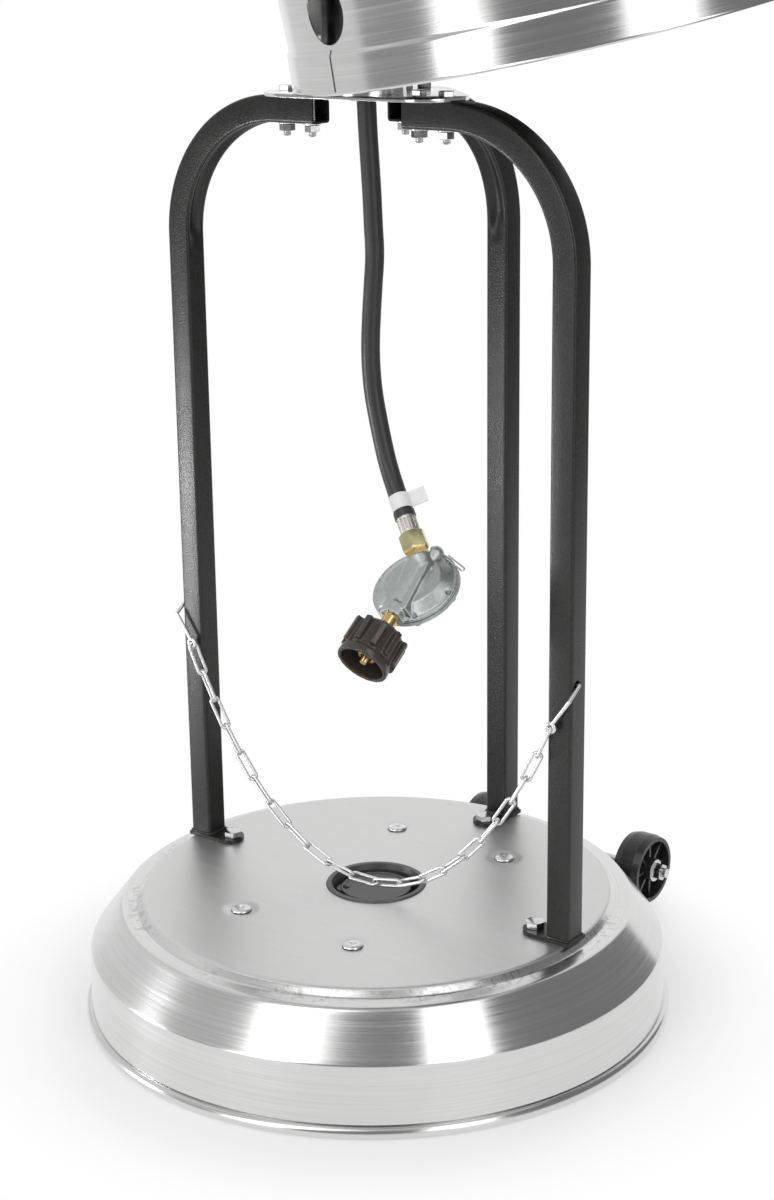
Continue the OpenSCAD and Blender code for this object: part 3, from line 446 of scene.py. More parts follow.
def pierced(mesh, cutter, overlapping=False):
    """The mesh with a cutter's shape taken out of it."""
    piece = linked("pierced", mesh)
    tool = linked("cutter", mesh_from(cutter))
    cut = piece.modifiers.new("cut", "BOOLEAN")
    cut.object = tool
    cut.solver = "EXACT"
    cut.use_self = overlapping
    result = applied(piece)
    bpy.data.objects.remove(tool)
    return result


def scattered(name, shape, places, finish):
    """One mesh of a shape set on places, each a point in millimetres and a turn."""
    points = bpy.data.meshes.new("points")
    points.from_pydata([Vector(place) * MM for place, turn in places], [], [])
    turns = points.attributes.new("turn", "FLOAT_VECTOR", "POINT")
    for entry, (place, turn) in zip(turns.data, places):
        entry.vector = turn
    tree = Growth(name, {"Shape": "NodeSocketObject"})
    model = tree.node("GeometryNodeObjectInfo", None, {"Object": tree.given["Shape"]})["Geometry"]
    turn = tree.node("GeometryNodeInputNamedAttribute", {"data_type": "FLOAT_VECTOR"}, {"Name": "turn"})
    heading = tree.node("FunctionNodeEulerToRotation", None, {0: turn["Attribute"]})["Rotation"]
    sockets = {"Points": tree.given["Geometry"], "Instance": model, "Rotation": heading}
    tree.close(tree.node("GeometryNodeInstanceOnPoints", None, sockets)["Instances"], finish)
    holder = linked("shape", shape)
    mesh = tree.grown(points, {"Shape": holder})
    bpy.data.objects.remove(holder)
    return mesh


def merged_copy(node):
    """A bmesh copy of a CAD node with its corners joined."""
    bm = bmesh.new()
    bm.from_mesh(NODES[node].data)
    bmesh.ops.remove_doubles(bm, verts=bm.verts, dist=2e-6)
    return bm


def tone(name, description, default):
    """A colour that a user may change."""
    return bpy.props.FloatVectorProperty(
        name=name, description=description, default=default, min=0, max=1, size=3, subtype="COLOR"
    )


def count(name, description, default, low, high):
    """A number of repeats that a user may change."""
    return bpy.props.IntProperty(name=name, description=description, default=default, min=low, max=high)


class HeaterSizes(bpy.types.PropertyGroup):
    """Sizes and colours of the dressed heater."""

    steel: tone("Steel", "Stainless sheet of the base, cover, plate and emitter", (0.84, 0.84, 0.835))
    # Darker than the steel as painted shade on the top of the base; the same sheet as the wall.
    deck: tone("Deck", "Dull, straight-grained top of the base", (0.76, 0.76, 0.755))
    aluminium: tone("Aluminium", "Sheet of the reflector", (0.66, 0.66, 0.665))
    coat: tone("Coat", "Powder coat of the legs and brackets", (0.021, 0.0192, 0.018))
    plastic: tone("Plastic", "Moulded plastic of the wheels, collar and knob", (0.034, 0.033, 0.032))
    moulding: tone("Moulding", "Duller plastic of the filler's dish and cap", (0.078, 0.077, 0.076))
    grip: tone("Grip", "Warm black plastic of the hand nut", (0.054, 0.047, 0.041))
    hose: tone("Hose", "Rubber of the gas hose", (0.036, 0.035, 0.0355))
    zinc: tone("Zinc", "Bright plating of the bolts, chain and small parts", (0.82, 0.83, 0.83))
    gold: tone("Yellow zinc", "Yellow plating of the hose's swivel nut", (0.97, 0.9, 0.52))
    brass: tone("Brass", "Brass of the adapter, nipple and tip", (0.78, 0.57, 0.27))
    casting: tone("Casting", "Die-cast metal of the regulator", (0.6, 0.63, 0.62))

    hose_diameter: bpy.props.FloatProperty(
        name="Hose diameter",
        description="Outside diameter of the gas hose",
        default=0.014,
        min=0.012,
        max=0.015,
        unit="LENGTH",
    )
    emitter_rows: count("Emitter rows", "Rows of holes in the emitter screen", 26, 8, 40)
    emitter_columns: count("Emitter columns", "Holes round the emitter screen", 72, 24, 120)
    base_segments: count("Base segments", "Steps of the spun base round its axis", 256, 64, 512)


class HEATER_OT_camera(bpy.types.Operator):
    """Places the camera at the photograph's point of view"""

    bl_idname = "heater.camera"
    bl_label = "Camera"

    def execute(self, context):
        data = bpy.data.cameras.new("camera")
        data.lens = 66.465
        data.sensor_width = 36
        data.clip_start = 0.05
        data.clip_end = 60
        camera = linked("camera", data)
        yaw, pitch, roll = (math.radians(a) for a in (37.44, 16.78, -0.75))
        aim = Matrix.Rotation(yaw, 4, "Z") @ Matrix.Rotation(math.pi / 2 - pitch, 4, "X")
        place = Matrix.Translation((0.9826, -1.2647, 0.8085))
        camera.matrix_world = place @ aim @ Matrix.Rotation(roll, 4, "Z")
        context.scene.camera = camera
        return {"FINISHED"}


class HEATER_OT_finishes(bpy.types.Operator):
    """Makes the finishes and gives each CAD node its own"""

    bl_idname = "heater.finishes"
    bl_label = "Finishes"

    def execute(self, context):
        make_finishes(context.scene.heater)
        for node, part in NODES.items():
            slot = SLOT_OF[node]
            finish = "brushed_cover" if BODY_OF[node] == "cover" and slot == "brushed_skin" else slot
            finish = SINGLE_FINISH.get(node, finish)
            part.data.materials.clear()
            part.data.materials.append(FINISHES[finish])
        return {"FINISHED"}


class HEATER_OT_hose(bpy.types.Operator):
    """Hangs the gas hose from the leg plate to the regulator"""

    bl_idname = "heater.hose"
    bl_label = "Gas hose"

    def execute(self, context):
        size = context.scene.heater.hose_diameter
        points = (
            (1, 1, 694),
            (1.5, 1.5, 674),
            (2.5, 2, 652),
            (3.5, 2.5, 630),
            (4, 3, 608),
            (4.5, 3.5, 586),
            (3.5, 2.5, 564),
            (2, 2, 542),
            (1.5, 1, 520),
            (2, 1, 500),
            (4, 1, 483),
            (7.5, 1, 466),
            (12, 0.5, 449),
            (17.5, -1, 434),
            (30.081, -6.229, 413.231),
            (35.433, -8.974, 406.535),
            (39.0, -10.803, 402.072),
        )
        curve = bpy.data.curves.new("hose_line", "CURVE")
        curve.dimensions = "3D"
        curve.bevel_depth = size / 2
        curve.bevel_resolution = 8
        curve.resolution_u = 6
        curve.use_fill_caps = True
        spline = curve.splines.new("BEZIER")
        spline.bezier_points.add(len(points) - 1)
        for knot, point in zip(spline.bezier_points, points):
            knot.co = Vector(point) * MM
            knot.handle_left_type = "AUTO"
            knot.handle_right_type = "AUTO"
        curve.materials.append(FINISHES["hose_rubber"])
        hose = linked("hose_line", curve)
        context.view_layer.update()
        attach(hose, "stand")
        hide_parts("hose")
        on_it = ["hose_label", "hose_collar", "hose_ferrule", "swivel_nut", "outlet_adapter"]
        on_it += ["regulator_body", "regulator_cover", "regulator_screws", "vent_wire"]
        on_it += ["inlet_nipple", "inlet_tip", "hand_nut"]
        return {"FINISHED"}


class HEATER_OT_base(bpy.types.Operator):
    """Spins the pressed base with its rounded steps, rolled rim and screw dimples"""

    bl_idname = "heater.base"
    bl_label = "Base"

    def execute(self, context):
        corners = [(36.3, DECK_Z), (181.5, DECK_Z), (187.5, 88.5), (199.5, 87), (224, 55), (226, 10.6)]
        corners.append((224.41, 8.87))
        outside = filled(rounded(corners, [5, 4, 6, 3, 0.5]), 2.5)
        bead_radius, rim_start, rim_sweep, rim_steps = 4.5, 104, 194, 18
        bead = Vector((225.5, bead_radius))
        rim = []
        for i in range(1, rim_steps + 1):
            turn = math.radians(rim_start - i * rim_sweep / rim_steps)
            rim.append(bead + bead_radius * Vector((math.cos(turn), math.sin(turn))))
        foot = [Vector((219.5, 0)), Vector((219.5, 7))]
        inside = list(reversed(beside(outside, -1)))
        bm = lathe(outside + rim + foot + inside, context.scene.heater.base_segments)
        dimple_radius, dimple_slope, dimple_depth = 14, 5, 1.1
        for vert in bm.verts:
            for x, y in SCREW_PLACES:
                away = math.hypot(vert.co.x / MM - x, vert.co.y / MM - y)
                reach = min(max((dimple_radius - away) / dimple_slope, 0), 1)
                vert.co.z -= dimple_depth * MM * reach * reach * (3 - 2 * reach)
        base = shown("spun_base", mesh_from(bm), "brushed_skin", "stand", ["base_shell"], sharp=50)
        # Faces of the top take the darker deck finish, which carries painted shade.
        base.data.materials.append(FINISHES["brushed_deck"])
        for face in base.data.polygons:
            face.material_index = int(face.center.z > (DECK_Z - 1.5) * MM)
        return {"FINISHED"}


class HEATER_OT_cover(bpy.types.Operator):
    """Rolls the tank cover's wall with its hem, hand holes and lapped seam"""

    bl_idname = "heater.cover"
    bl_label = "Tank cover"

    seam_at = 207
    hole, hole_z = 43, -646
    # Heights between which the hand hole breaks the seam
    gap_low, gap_high = -667, -622

    def execute(self, context):
        corners = [(186, 0), (199.9, -671.8), (201.6, -674.2), (203.6, -697.6)]
        outside = filled(rounded(corners, [4, 4]), 24)
        sheet, roll = 0.8, 1.2
        turns = (0.8, 0.1, -0.7, -1.6, -2.5)
        curl = [Vector((202.8 + roll * math.cos(a), -698.8 + roll * math.sin(a))) for a in turns]
        inside = list(reversed(beside(outside, -sheet)))
        bm = lathe(outside + curl + inside, 240)
        bmesh.ops.transform(bm, matrix=COVER_PLACE, verts=bm.verts)
        mesh = mesh_from(bm)
        out = Matrix.Translation((200 * MM, 0, self.hole_z * MM))
        for turn in (self.seam_at - 180, self.seam_at):
            aim = COVER_PLACE @ Matrix.Rotation(math.radians(turn), 4, "Z") @ out
            mesh = pierced(mesh, drill(self.hole, 60, aim, 64))
        wall = shown("cover_wall", mesh, "brushed_skin", "cover", ["cover_shell"], "brushed_cover")
        bm = bmesh.new()
        bm.from_mesh(wall.data)
        self.seam(bm, [p for p in outside if p.y > self.gap_high])
        self.seam(bm, [p for p in outside if p.y < self.gap_low])
        bm.to_mesh(wall.data)
        bm.free()
        # The black coat goes on the seam's flanks as painted shade, not as a real finish of the steel.
        wall.data.materials.append(FINISHES["black_coat"])
        wall.data.shade_smooth()
        wall.data.set_sharp_from_angle(angle=math.radians(35))
        return {"FINISHED"}

    def seam(self, bm, run):
        """The lapped edge of the rolled sheet along a run of the wall's outline; its two flanks take the
        black coat as painted shade for the gap beside the lap.
        """
        columns = []
        for back, proud in ((1.6, -0.3), (1.5, 0.6), (0.3, 0.6), (0, -0.3)):
            turn = math.radians(self.seam_at - back)
            aim = Vector((math.cos(turn), math.sin(turn), 0))
            points = [(aim * (p.x + proud) + Vector((0, 0, p.y))) * MM for p in run]
            columns.append([bm.verts.new(COVER_PLACE @ point) for point in points])
        faces = [bm.faces.new([column[k] for column in columns]) for k in (0, -1)]
        for side, (left, right) in enumerate(zip(columns, columns[1:] + columns[:1])):
            for k in range(len(run) - 1):
                faces.append(bm.faces.new((left[k], left[k + 1], right[k + 1], right[k])))
                # Both flanks (sides 0 and 2) take the black coat: painted shade for the gap beside the
                # lap.
                faces[-1].material_index = int(side in (0, 2))
        bmesh.ops.recalc_face_normals(bm, faces=faces)


class HEATER_OT_legs(bpy.types.Operator):
    """Bends the square-tube legs, whose inner walls are pressed in along the bend"""

    bl_idname = "heater.legs"
    bl_label = "Legs"

    reach, bend, width, wall = 175, 97, TUBE, 1.5
    foot, top, end = FOOT_TOP, LEG_TOP, 40
    dent, lead = 3.6, 16
    hook = (-2.5, 295, 7)

    def execute(self, context):
        for node, turn, side in (("right_leg", 0, 1), ("rear_leg", 90, 0), ("left_leg", 180, -1)):
            bm = self.tube()
            self.weld(bm)
            mesh = mesh_from(bm)
            if side:
                across, rise, hole = self.hook
                at = Vector((self.reach + self.width / 2, across * side, rise)) * MM
                mesh = pierced(mesh, drill(hole, 6, Matrix.Translation(at), 32))
            mesh.transform(Matrix.Rotation(math.radians(turn), 4, "Z"))
            shown("bent_" + node, mesh, "black_coat", "stand", [node], sharp=50)
        return {"FINISHED"}

    def section(self, half, corner):
        """A rounded square of outward and sideways offsets, with points along its inner side."""
        points = []
        for quarter in range(4):
            middle = math.radians(45 + 90 * quarter)
            centre = Vector((math.cos(middle), math.sin(middle))) * (half - corner) * math.sqrt(2)
            for i in range(6):
                turn = middle + math.radians(-45 + 18 * i)
                points.append(centre + corner * Vector((math.cos(turn), math.sin(turn))))
            if quarter == 1:
                run = half - corner
                points += [Vector((-half, run - 2 * run * i / 12)) for i in range(1, 12)]
        return points

    def stations(self):
        """Steps up the leg: a centre, the outward direction there, and how deep the dent is."""
        centre = Vector((self.reach - self.bend, self.top - self.width / 2 - self.bend))
        steps = [(Vector((self.reach, self.foot)), Vector((1, 0)), 0.0)]
        for i in range(9):
            rise = centre.y - self.lead * (8 - i) / 8
            steps.append((Vector((self.reach, rise)), Vector((1, 0)), self.press(self.lead * i / 8)))
        arc = self.bend * math.pi / 2
        for i in range(1, 49):
            turn = math.pi / 2 * i / 48
            out = Vector((math.cos(turn), math.sin(turn)))
            along = arc * i / 48
            depth = min(self.press(self.lead + along), self.press(self.lead / 2 + arc - along))
            steps.append((centre + out * self.bend, out, depth))
        for i in range(1, 5):
            step = centre + Vector((-self.lead / 2 * i / 4, self.bend))
            steps.append((step, Vector((0, 1)), self.press(self.lead / 2 * (1 - i / 4))))
        steps.append((Vector((self.end, self.top - self.width / 2)), Vector((0, 1)), 0.0))
        return steps

    def press(self, along):
        """Depth of the dent at a distance from its end."""
        share = min(along / (self.lead * 1.6), 1)
        return self.dent * share * share * (3 - 2 * share)

    def tube(self):
        """The tube as one closed skin, with its outer and inner wall and open ends."""
        bm = bmesh.new()
        skins = []
        for half, corner in ((self.width / 2, 2.5), (self.width / 2 - self.wall, 1.0)):
            rings = []
            for centre, out, depth in self.stations():
                ring = []
                for offset in self.section(half, corner):
                    near = max(0, 1 - (offset.y / (half - 2)) ** 2) if offset.x < 0 else 0
                    push = depth * near * near * (0.5 - 0.5 * offset.x / half)
                    flat = centre + out * (offset.x + push)
                    ring.append(bm.verts.new(Vector((flat.x, offset.y, flat.y)) * MM))
                rings.append(ring)
            skins.append(rings)
        for rings in skins:
            for low, high in zip(rings, rings[1:]):
                self.join(bm, low, high)
        for k in (0, -1):
            self.join(bm, skins[0][k], skins[1][k])
        bmesh.ops.recalc_face_normals(bm, faces=bm.faces)
        return bm

    def join(self, bm, low, high):
        """Faces between two rings of the same count."""
        for k in range(len(low)):
            after = (k + 1) % len(low)
            bm.faces.new((low[k], low[after], high[after], high[k]))

    def weld(self, bm):
        """An uneven weld bead round the tube's foot."""
        rings = []
        for i, offset in enumerate(self.section(self.width / 2, 2.5)):
            out = offset.normalized()
            size = 1.5 + 0.35 * math.sin(i * 2.3) * math.cos(i * 1.1)
            ring = []
            for k in range(8):
                turn = math.pi / 4 * k
                flat = offset + out * size * math.cos(turn) * 0.9
                rise = self.foot + 0.4 + size * math.sin(turn) * 0.9
                ring.append(bm.verts.new(Vector((self.reach + flat.x, flat.y, rise)) * MM))
            rings.append(ring)
        start = len(bm.faces)
        for low, high in zip(rings, rings[1:] + rings[:1]):
            self.join(bm, low, high)
        bm.faces.ensure_lookup_table()
        bmesh.ops.recalc_face_normals(bm, faces=bm.faces[start:])


class HEATER_OT_plate(bpy.types.Operator):
    """Cuts the polished plate across the leg tops, with its eased edges"""

    bl_idname = "heater.plate"
    bl_label = "Leg plate"

    def execute(self, context):
        reach, end, bore, bore_at, steps = 54, 30, 10, 1, 32
        lobes = ((reach, 0, -90, 45), (0, reach, 45, 135), (-reach, 0, 135, 270))
        outer = []
        for x, y, start, stop in lobes:
            turns = [math.radians(start + (stop - start) * i / steps) for i in range(steps + 1)]
            outer += [(x + end * math.cos(a), y + end * math.sin(a)) for a in turns]
        turns = [math.radians(7.5 * i) for i in range(48)]
        hole = [(bore_at + bore * math.cos(a), bore_at + bore * math.sin(a)) for a in turns]
        bm = bmesh.new()
        for loop in (outer, hole):
            verts = [bm.verts.new((x * MM, y * MM, LEG_TOP * MM)) for x, y in loop]
            for first, second in zip(verts, verts[1:] + verts[:1]):
                bm.edges.new((first, second))
        bmesh.ops.triangle_fill(bm, use_beauty=True, edges=bm.edges[:], normal=(0, 0, 1))
        base = bm.faces[:]
        raised = bmesh.ops.extrude_face_region(bm, geom=base, use_keep_orig=True)["geom"]
        lifted = [part for part in raised if isinstance(part, bmesh.types.BMVert)]
        bmesh.ops.translate(bm, verts=lifted, vec=(0, 0, PLATE * MM))
        bmesh.ops.recalc_face_normals(bm, faces=bm.faces)
        holder = linked("plate", mesh_from(bm))
        ease = holder.modifiers.new("ease", "BEVEL")
        ease.width = 0.4 * MM
        ease.segments = 2
        ease.angle_limit = math.radians(50)
        shown("leg_plate", applied(holder), "polished_skin", "stand", ["top_plate"])
        return {"FINISHED"}


def threads(radius, low, high, pitch):
    """The outline of a threaded end, from its tip up."""
    outline = [(0, low), (radius - 0.9, low), (radius, low + 0.9)]
    rise = low + 0.9
    while rise + pitch < high:
        outline += [(radius - 0.45, rise + pitch * 0.5), (radius, rise + pitch)]
        rise += pitch
    return outline + [(radius, high), (0, high)]


def hexagon(across, low, high, edge):
    """The outline of a hexagon, spun in six steps, with its rims eased."""
    corner = across / 2 / math.cos(math.pi / 6)
    sides = [(corner - edge, low), (corner, low + edge)]
    sides += [(corner, high - edge), (corner - edge * 2, high)]
    return [(0, low), *sides, (0, high)]


def bolt_shape(size, across, head, length):
    """A hexagon bolt whose seat is at height 0 and whose thread hangs down."""
    bm = lathe(hexagon(across, 0, head, 0.4), 6)
    lathe([(0, 0), (across * 0.46, 0), (across * 0.46, 0.35), (0, 0.35)], 28, bm)
    return mesh_from(lathe(threads(size / 2, -length, 0.2, 1.25), 20, bm))


class HEATER_OT_fasteners(bpy.types.Operator):
    """Sets the bolts, nuts and screws"""

    bl_idname = "heater.fasteners"
    bl_label = "Fasteners"

    def execute(self, context):
        legs = (0, math.pi / 2, math.pi)
        nut, tip, foot_nut, skin = 6.2, 3.5, 6.5, 1
        reaches, foot_reach = (48, 71.5), 149
        tops = [(r * math.cos(a), r * math.sin(a), LEG_TOP + PLATE) for a in legs for r in reaches]
        turns = (0.2, 0.9, 0.5, 0.1, 0.7, 0.35)
        shape = bolt_shape(6, 10, 4, PLATE + TUBE + nut + tip)
        places = [(place, (0, 0, turn)) for place, turn in zip(tops, turns)]
        self.set_out("plate_bolt_set", "plate_bolts", shape, places)
        bm = lathe(hexagon(10, 0, 5, 0.4), 6)
        rim = [(0, 5), (4.6, 4.6), (6.3, 5.3), (6.5, 5.8), (6.5, nut), (0, nut)]
        shape = mesh_from(lathe(rim, 28, bm))
        under = LEG_TOP - TUBE - nut
        places = [((x, y, under), (0, 0, turn + 0.3)) for (x, y, _), turn in zip(tops, turns)]
        self.set_out("plate_nut_set", "plate_nuts", shape, places)
        shape = bolt_shape(8, 13, 5.3, FOOT_TOP - DECK_Z + skin + foot_nut + tip)
        feet = [(foot_reach * math.cos(a), foot_reach * math.sin(a), FOOT_TOP) for a in legs]
        places = [(place, (0, 0, a + 0.25)) for place, a in zip(feet, legs)]
        self.set_out("foot_bolt_set", "foot_bolts", shape, places)
        places = [((x, y, DECK_Z - 0.9), (0, 0, x * 0.011 + y)) for x, y in SCREW_PLACES]
        self.set_out("deck_screw_set", "plateau_screws", self.cross_head(), places, "dull_zinc")
        return {"FINISHED"}

    def set_out(self, name, node, shape, places, finish="zinc_plate"):
        """One piece with a fastener at each place."""
        mesh = scattered(name, shape, places, finish)
        shown(name, mesh, "zinc_plate", "stand", [node], finish)

    def cross_head(self):
        """A pan-head screw with a cross recess."""
        outline = [(0, -11), (1.6, -11), (2, -10), (2, 0), (7.3, 0), (7.5, 0.4), (7.4, 1)]
        outline += [(6.9, 1.6), (6, 2.05), (4.6, 2.35), (2.6, 2.55), (0, 2.6)]
        long, broad, deep = 9, 1.9, 2.4
        bm = bmesh.new()
        for turn in (0, math.pi / 2):
            arm = bmesh.ops.create_cube(bm, size=1)["verts"]
            for vert in arm:
                wide = 1.0 if vert.co.z > 0 else 0.55
                x, y, z = vert.co
                vert.co = Vector((x * long * wide, y * broad * wide, z * deep + 2.7)) * MM
            bmesh.ops.rotate(bm, verts=arm, cent=(0, 0, 0), matrix=Matrix.Rotation(turn, 3, "Z"))
        return pierced(mesh_from(lathe(outline, 32)), bm, True)


class HEATER_OT_emitter(bpy.types.Operator):
    """Rolls the perforated emitter screen with its plain bands and top plate"""

    bl_idname = "heater.emitter"
    bl_label = "Emitter screen"

    low, height, radius, flare = 1865.0, 216.0, 111.0, 16.2
    web, sheet, steps = 0.42, 0.8, 144

    def execute(self, context):
        sizes = context.scene.heater
        inputs = {"Rows": "NodeSocketInt", "Columns": "NodeSocketInt", "Web": "NodeSocketFloat"}
        tree = Growth("perforated_sheet", inputs)
        given = tree.given
        sockets = {"Vertices X": given["Columns"] + 1, "Vertices Y": given["Rows"] + 1}
        flat = tree.node("GeometryNodeMeshGrid", None, sockets)["Mesh"]
        sockets = {"Mesh": flat, "Offset Scale": 0.0, "Individual": True}
        cells = tree.node("GeometryNodeExtrudeMesh", {"mode": "FACES"}, sockets)
        sockets = {"Geometry": cells["Mesh"], "Selection": cells["Top"], "Scale": 1 - given["Web"]}
        inset = tree.node("GeometryNodeScaleElements", None, sockets)["Geometry"]
        sockets = {"Geometry": inset, "Selection": cells["Top"]}
        holed = tree.node("GeometryNodeDeleteGeometry", {"domain": "FACE"}, sockets)["Geometry"]
        sockets = {"Mesh": holed, "Level": 1}
        round_holes = tree.node("GeometryNodeSubdivisionSurface", None, sockets)["Mesh"]
        at = tree.node("GeometryNodeInputPosition")["Position"]
        split = tree.node("ShaderNodeSeparateXYZ", None, {0: at})
        turn = split["X"] * (2 * math.pi)
        rise = split["Y"] + 0.5
        radius = (self.radius + rise * self.flare) * MM
        cosine = tree.node("ShaderNodeMath", {"operation": "COSINE"}, {0: turn})["Value"]
        sine = tree.node("ShaderNodeMath", {"operation": "SINE"}, {0: turn})["Value"]
        sockets = {"X": radius * cosine, "Y": radius * sine, "Z": (self.low + rise * self.height) * MM}
        place = tree.node("ShaderNodeCombineXYZ", None, sockets)["Vector"]
        sockets = {"Geometry": round_holes, "Position": place}
        bent = tree.node("GeometryNodeSetPosition", None, sockets)["Geometry"]
        sockets = {"Geometry": bent, "Distance": 0.00005}
        tree.close(tree.node("GeometryNodeMergeByDistance", None, sockets)["Geometry"], "brushed_skin")
        values = {"Rows": sizes.emitter_rows, "Columns": sizes.emitter_columns, "Web": self.web}
        sheet = tree.grown(bpy.data.meshes.new("start"), values)
        bm = bmesh.new()
        bm.from_mesh(sheet)
        bmesh.ops.solidify(bm, geom=bm.faces[:], thickness=self.sheet * MM)
        lower = [(110, 1853), (110.9, 1865.2), (110.1, 1865.2), (109.2, 1853)]
        lathe(lower, self.steps, bm)
        upper = [(127.1, 2080.8), (128, 2093), (127.2, 2093), (126.3, 2080.8)]
        lathe(upper, self.steps, bm)
        lid = rounded([(0, 2092.9), (132, 2092.9), (132, 2096), (0, 2096)], [1, 1], 3)
        lathe(lid, self.steps, bm)
        shown("emitter_sheet", mesh_from(bm), "brushed_skin", "stand", ["emitter_screen"])
        return {"FINISHED"}


class HEATER_OT_reflector(bpy.types.Operator):
    """Spins the reflector dome with its turned-down lip"""

    bl_idname = "heater.reflector"
    bl_label = "Reflector"

    def execute(self, context):
        top, flat, run, drop, sheet = 2181.2, 120, 286.5, 92, 1.2
        crown = [(0, top), (flat, top)]
        flank = [(flat + run * u, top - drop * u * u) for u in (i / 24 for i in range(1, 25))]
        outside = filled([Vector(p) for p in crown + flank], 20)
        lip = [outside[-2], outside[-1], (flat + run, top - 100)]
        outside = outside[:-1] + rounded(lip, [3], 5)[1:]
        inside = list(reversed(beside(outside, -sheet)))
        inside[-1] = Vector((0, top - sheet))
        mesh = mesh_from(lathe(outside + inside, 240))
        shown("reflector_dome", mesh, "sheet_aluminium", "stand", ["reflector"])
        return {"FINISHED"}


class HEATER_OT_castings(bpy.types.Operator):
    """Softens the edges of the cast and moulded pieces"""

    bl_idname = "heater.castings"
    bl_label = "Cast and moulded pieces"

    def execute(self, context):
        pieces = {
            "regulator_body": (0.7, 4),
            "hand_nut": (0.6, 10),
            "control_knob": (0.8, 4),
            "filler_cap": (0.6, 4),
        }
        for node, (voxel, passes) in pieces.items():
            bm = merged_copy(node)
            if node == "regulator_body":
                self.dress(bm)
            holder = linked("cast", mesh_from(bm))
            skin = holder.modifiers.new("skin", "REMESH")
            skin.mode = "VOXEL"
            skin.voxel_size = voxel * MM
            ease = holder.modifiers.new("ease", "SMOOTH")
            ease.factor = 0.5
            ease.iterations = passes
            mesh = applied(holder)
            finish = SINGLE_FINISH.get(node)
            shown("soft_" + node, mesh, SLOT_OF[node], BODY_OF[node], [node], finish, sharp=80)
        return {"FINISHED"}

    def dress(self, bm):
        """Adds the broad duct from the inlet to the outlet and the domed face of the regulator."""
        lean = Matrix.Rotation(math.radians(-36), 4, "Y")
        place = Matrix.Translation(Vector((66, -32.5, 354)) * MM)
        place = place @ Matrix.Rotation(math.pi / 2, 4, "Z") @ lean
        low = [(-28, -14.5, 2), (-28, 13.5, 2), (18, 11, 2), (18, -11, 2)]
        high = [(-27, -10.5, 12), (-27, 8.5, 12), (16, 8, 14), (16, -8, 14)]
        duct = [bm.verts.new(place @ (Vector(p) * MM)) for p in low + high]
        bmesh.ops.convex_hull(bm, input=duct)
        turns = [math.pi / 2 * i / 8 for i in range(9)]
        radius, crown = 29, 7.5
        dome = [Vector((radius * math.cos(turn), 3 + crown * math.sin(turn))) for turn in turns]
        cap = mesh_from(lathe([(0, 2), (radius, 2)] + dome, 48))
        cap.transform(place)
        bm.from_mesh(cap)


def lamp(name, place, aim, power, width, height):
    """A rectangular lamp that is turned to a point."""
    data = bpy.data.lights.new(name, "AREA")
    data.energy = power
    data.shape = "RECTANGLE"
    data.size = width
    data.size_y = height
    made = linked(name, data)
    made.location = place
    made.rotation_euler = (Vector(aim) - Vector(place)).to_track_quat("-Z", "Y").to_euler()
    return made


def softbox(name, turn, width, height, lean, power):
    """A tall soft lamp that stands at a turn round the object, rolled by a lean."""
    turn = math.radians(turn)
    away, rise, aim = 2.6, 2.0, (0, 0, 0.6)
    place = (away * math.cos(turn), away * math.sin(turn), rise)
    made = lamp(name, place, aim, power, width, height)
    roll = Matrix.Rotation(math.radians(lean), 3, "Z")
    made.rotation_euler = (made.rotation_euler.to_matrix() @ roll).to_euler()


def background_seen(tree):
    """1 where a ray shows the plain background instead of gathering its light."""
    path = tree.node("ShaderNodeLightPath")
    return path["Is Camera Ray"] + path["Is Glossy Ray"] + path["Is Transmission Ray"]


def dark_card(name, turns, rises, shade):
    """A grey studio card, seen in reflections only, on a sphere round the object."""
    reach, middle, wide, high = 6.0, 0.4, 8, 6
    bm = bmesh.new()
    grid = []
    for i in range(wide + 1):
        turn = math.radians(turns[0] + (turns[1] - turns[0]) * i / wide)
        column = []
        for j in range(high + 1):
            rise = math.radians(rises[0] + (rises[1] - rises[0]) * j / high)
            flat = reach * math.cos(rise)
            point = (flat * math.cos(turn), flat * math.sin(turn), middle + reach * math.sin(rise))
            column.append(bm.verts.new(point))
        grid.append(column)
    for left, right in zip(grid, grid[1:]):
        for j in range(high):
            bm.faces.new((left[j], left[j + 1], right[j + 1], right[j]))
    card = linked(name, mesh_from(bm))
    finish = Finish(name, {"Base Color": (0, 0, 0, 1), "Roughness": 1.0, "Specular IOR Level": 0.0})
    finish.set({"Emission Color": (shade, shade, shade, 1), "Emission Strength": 1.0})
    card.data.materials.append(finish.material)
    card.visible_camera = False
    card.visible_diffuse = False
    card.visible_shadow = False
    card.visible_transmission = False


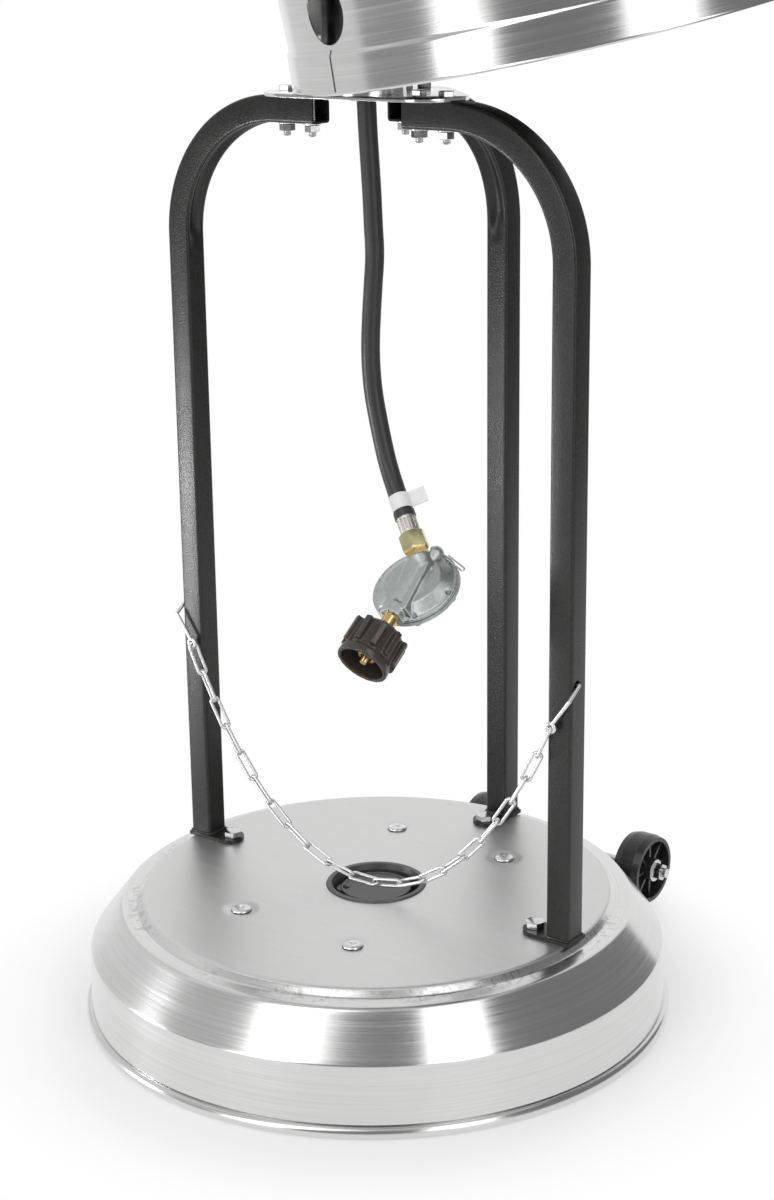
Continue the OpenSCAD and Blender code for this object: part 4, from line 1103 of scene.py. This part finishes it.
class HEATER_OT_studio(bpy.types.Operator):
    """Lays the pale floor and sets the soft studio light"""

    bl_idname = "heater.studio"
    bl_label = "Studio"

    def execute(self, context):
        context.scene.view_settings.view_transform = "Standard"
        self.floor()
        self.sky(context)
        self.lights()
        return {"FINISHED"}

    def floor(self):
        """A round floor that keeps the shadow near the object and fades to the white background."""
        bm = bmesh.new()
        bmesh.ops.create_circle(bm, cap_ends=True, segments=96, radius=1.7)
        floor = linked("floor", mesh_from(bm))
        pale = Finish("floor", {"Roughness": 0.9, "Specular IOR Level": 0.0})
        cloud = pale.noise(pale.place(), 3.0)
        pale.set({"Base Color": pale.mix(cloud, (0.9, 0.9, 0.9, 1), (0.93, 0.93, 0.93, 1))})
        split = pale.node("ShaderNodeSeparateXYZ", None, {0: pale.place()})
        away = (split["X"] * split["X"] + split["Y"] * split["Y"]) ** 0.5
        far = eased(pale, away, 0.2, 0.35, 0.85) + 0.15
        white = pale.node("ShaderNodeEmission", None, {"Color": (1, 1, 1, 1), "Strength": 1.0})
        lit = Value(pale, pale.shader.outputs[0])
        path = pale.node("ShaderNodeLightPath")
        seen = path["Is Camera Ray"] * far + (path["Is Glossy Ray"] + path["Is Transmission Ray"]) * 0.7
        both = pale.node("ShaderNodeMixShader", None, {0: seen, 1: lit, 2: white[0]})
        pale.put(pale.nodes.nodes["Material Output"].inputs["Surface"], both[0])
        floor.data.materials.append(pale.material)

    def sky(self, context):
        """A white background that lights the object at a plain level."""
        world = bpy.data.worlds.new("studio")
        context.scene.world = world
        world.use_nodes = True
        sky = Tree(world.node_tree)
        seen = background_seen(sky)
        plain = world.node_tree.nodes["Background"]
        plain.inputs["Color"].default_value = (1, 1, 1, 1)
        plain.inputs["Strength"].default_value = 0.62
        white = sky.node("ShaderNodeBackground", None, {"Color": (1, 1, 1, 1), "Strength": 1.0})
        lit = Value(sky, plain.outputs[0])
        both = sky.node("ShaderNodeMixShader", None, {0: seen, 1: lit, 2: white[0]})
        sky.put(world.node_tree.nodes["World Output"].inputs["Surface"], both[0])

    def lights(self):
        """Two softboxes, a low gleam, a rear lamp and the grey cards between them."""
        softbox("left_softbox", -92, 1.3, 4.6, -14, 33)
        softbox("right_softbox", -20, 1.25, 3.8, -17, 25)
        low = lamp("low_gleam", (-0.852, -0.736, 0.13), (-0.175, 0, 0.38), 4.6, 0.22, 0.22)
        low.visible_diffuse = False
        low.visible_camera = False
        rear = lamp("rear", (-0.9, 2.9, 3.0), (0, 0, 0.6), 30, 2.2, 1.2)
        rear.visible_glossy = False
        dark_card("card_middle", (-84, -27), (-50, 58), 0.24)
        dark_card("card_right", (-6, 80), (-50, 58), 0.22)
        dark_card("card_left", (-146, -109), (-50, 12), 0.34)
        dark_card("card_left_high", (-150, -109), (12, 58), 0.55)
        dark_card("card_far_left", (-205, -146), (-50, 58), 0.78)
        dark_card("card_over", (-205, 155), (58, 90), 0.65)


OPERATORS = (
    HEATER_OT_camera,
    HEATER_OT_finishes,
    HEATER_OT_hose,
    HEATER_OT_base,
    HEATER_OT_cover,
    HEATER_OT_legs,
    HEATER_OT_plate,
    HEATER_OT_fasteners,
    HEATER_OT_emitter,
    HEATER_OT_reflector,
    HEATER_OT_castings,
    HEATER_OT_studio,
)


class HEATER_PT_panel(bpy.types.Panel):
    """Lists the steps that dress the heater"""

    bl_idname = "HEATER_PT_panel"
    bl_label = "Heater"
    bl_space_type = "VIEW_3D"
    bl_region_type = "UI"
    bl_category = "Heater"

    def draw(self, context):
        for name in HeaterSizes.__annotations__:
            self.layout.prop(context.scene.heater, name)
        for operator in OPERATORS:
            self.layout.operator(operator.bl_idname)


CLASSES = (HeaterSizes, *OPERATORS, HEATER_PT_panel)


def register():
    for cls in CLASSES:
        bpy.utils.register_class(cls)
    bpy.types.Scene.heater = bpy.props.PointerProperty(type=HeaterSizes)


def unregister():
    del bpy.types.Scene.heater
    for cls in reversed(CLASSES):
        bpy.utils.unregister_class(cls)


def main():
    register()
    for operator in OPERATORS:
        group, name = operator.bl_idname.split(".")
        getattr(getattr(bpy.ops, group), name)()


if __name__ == "__main__":
    main()
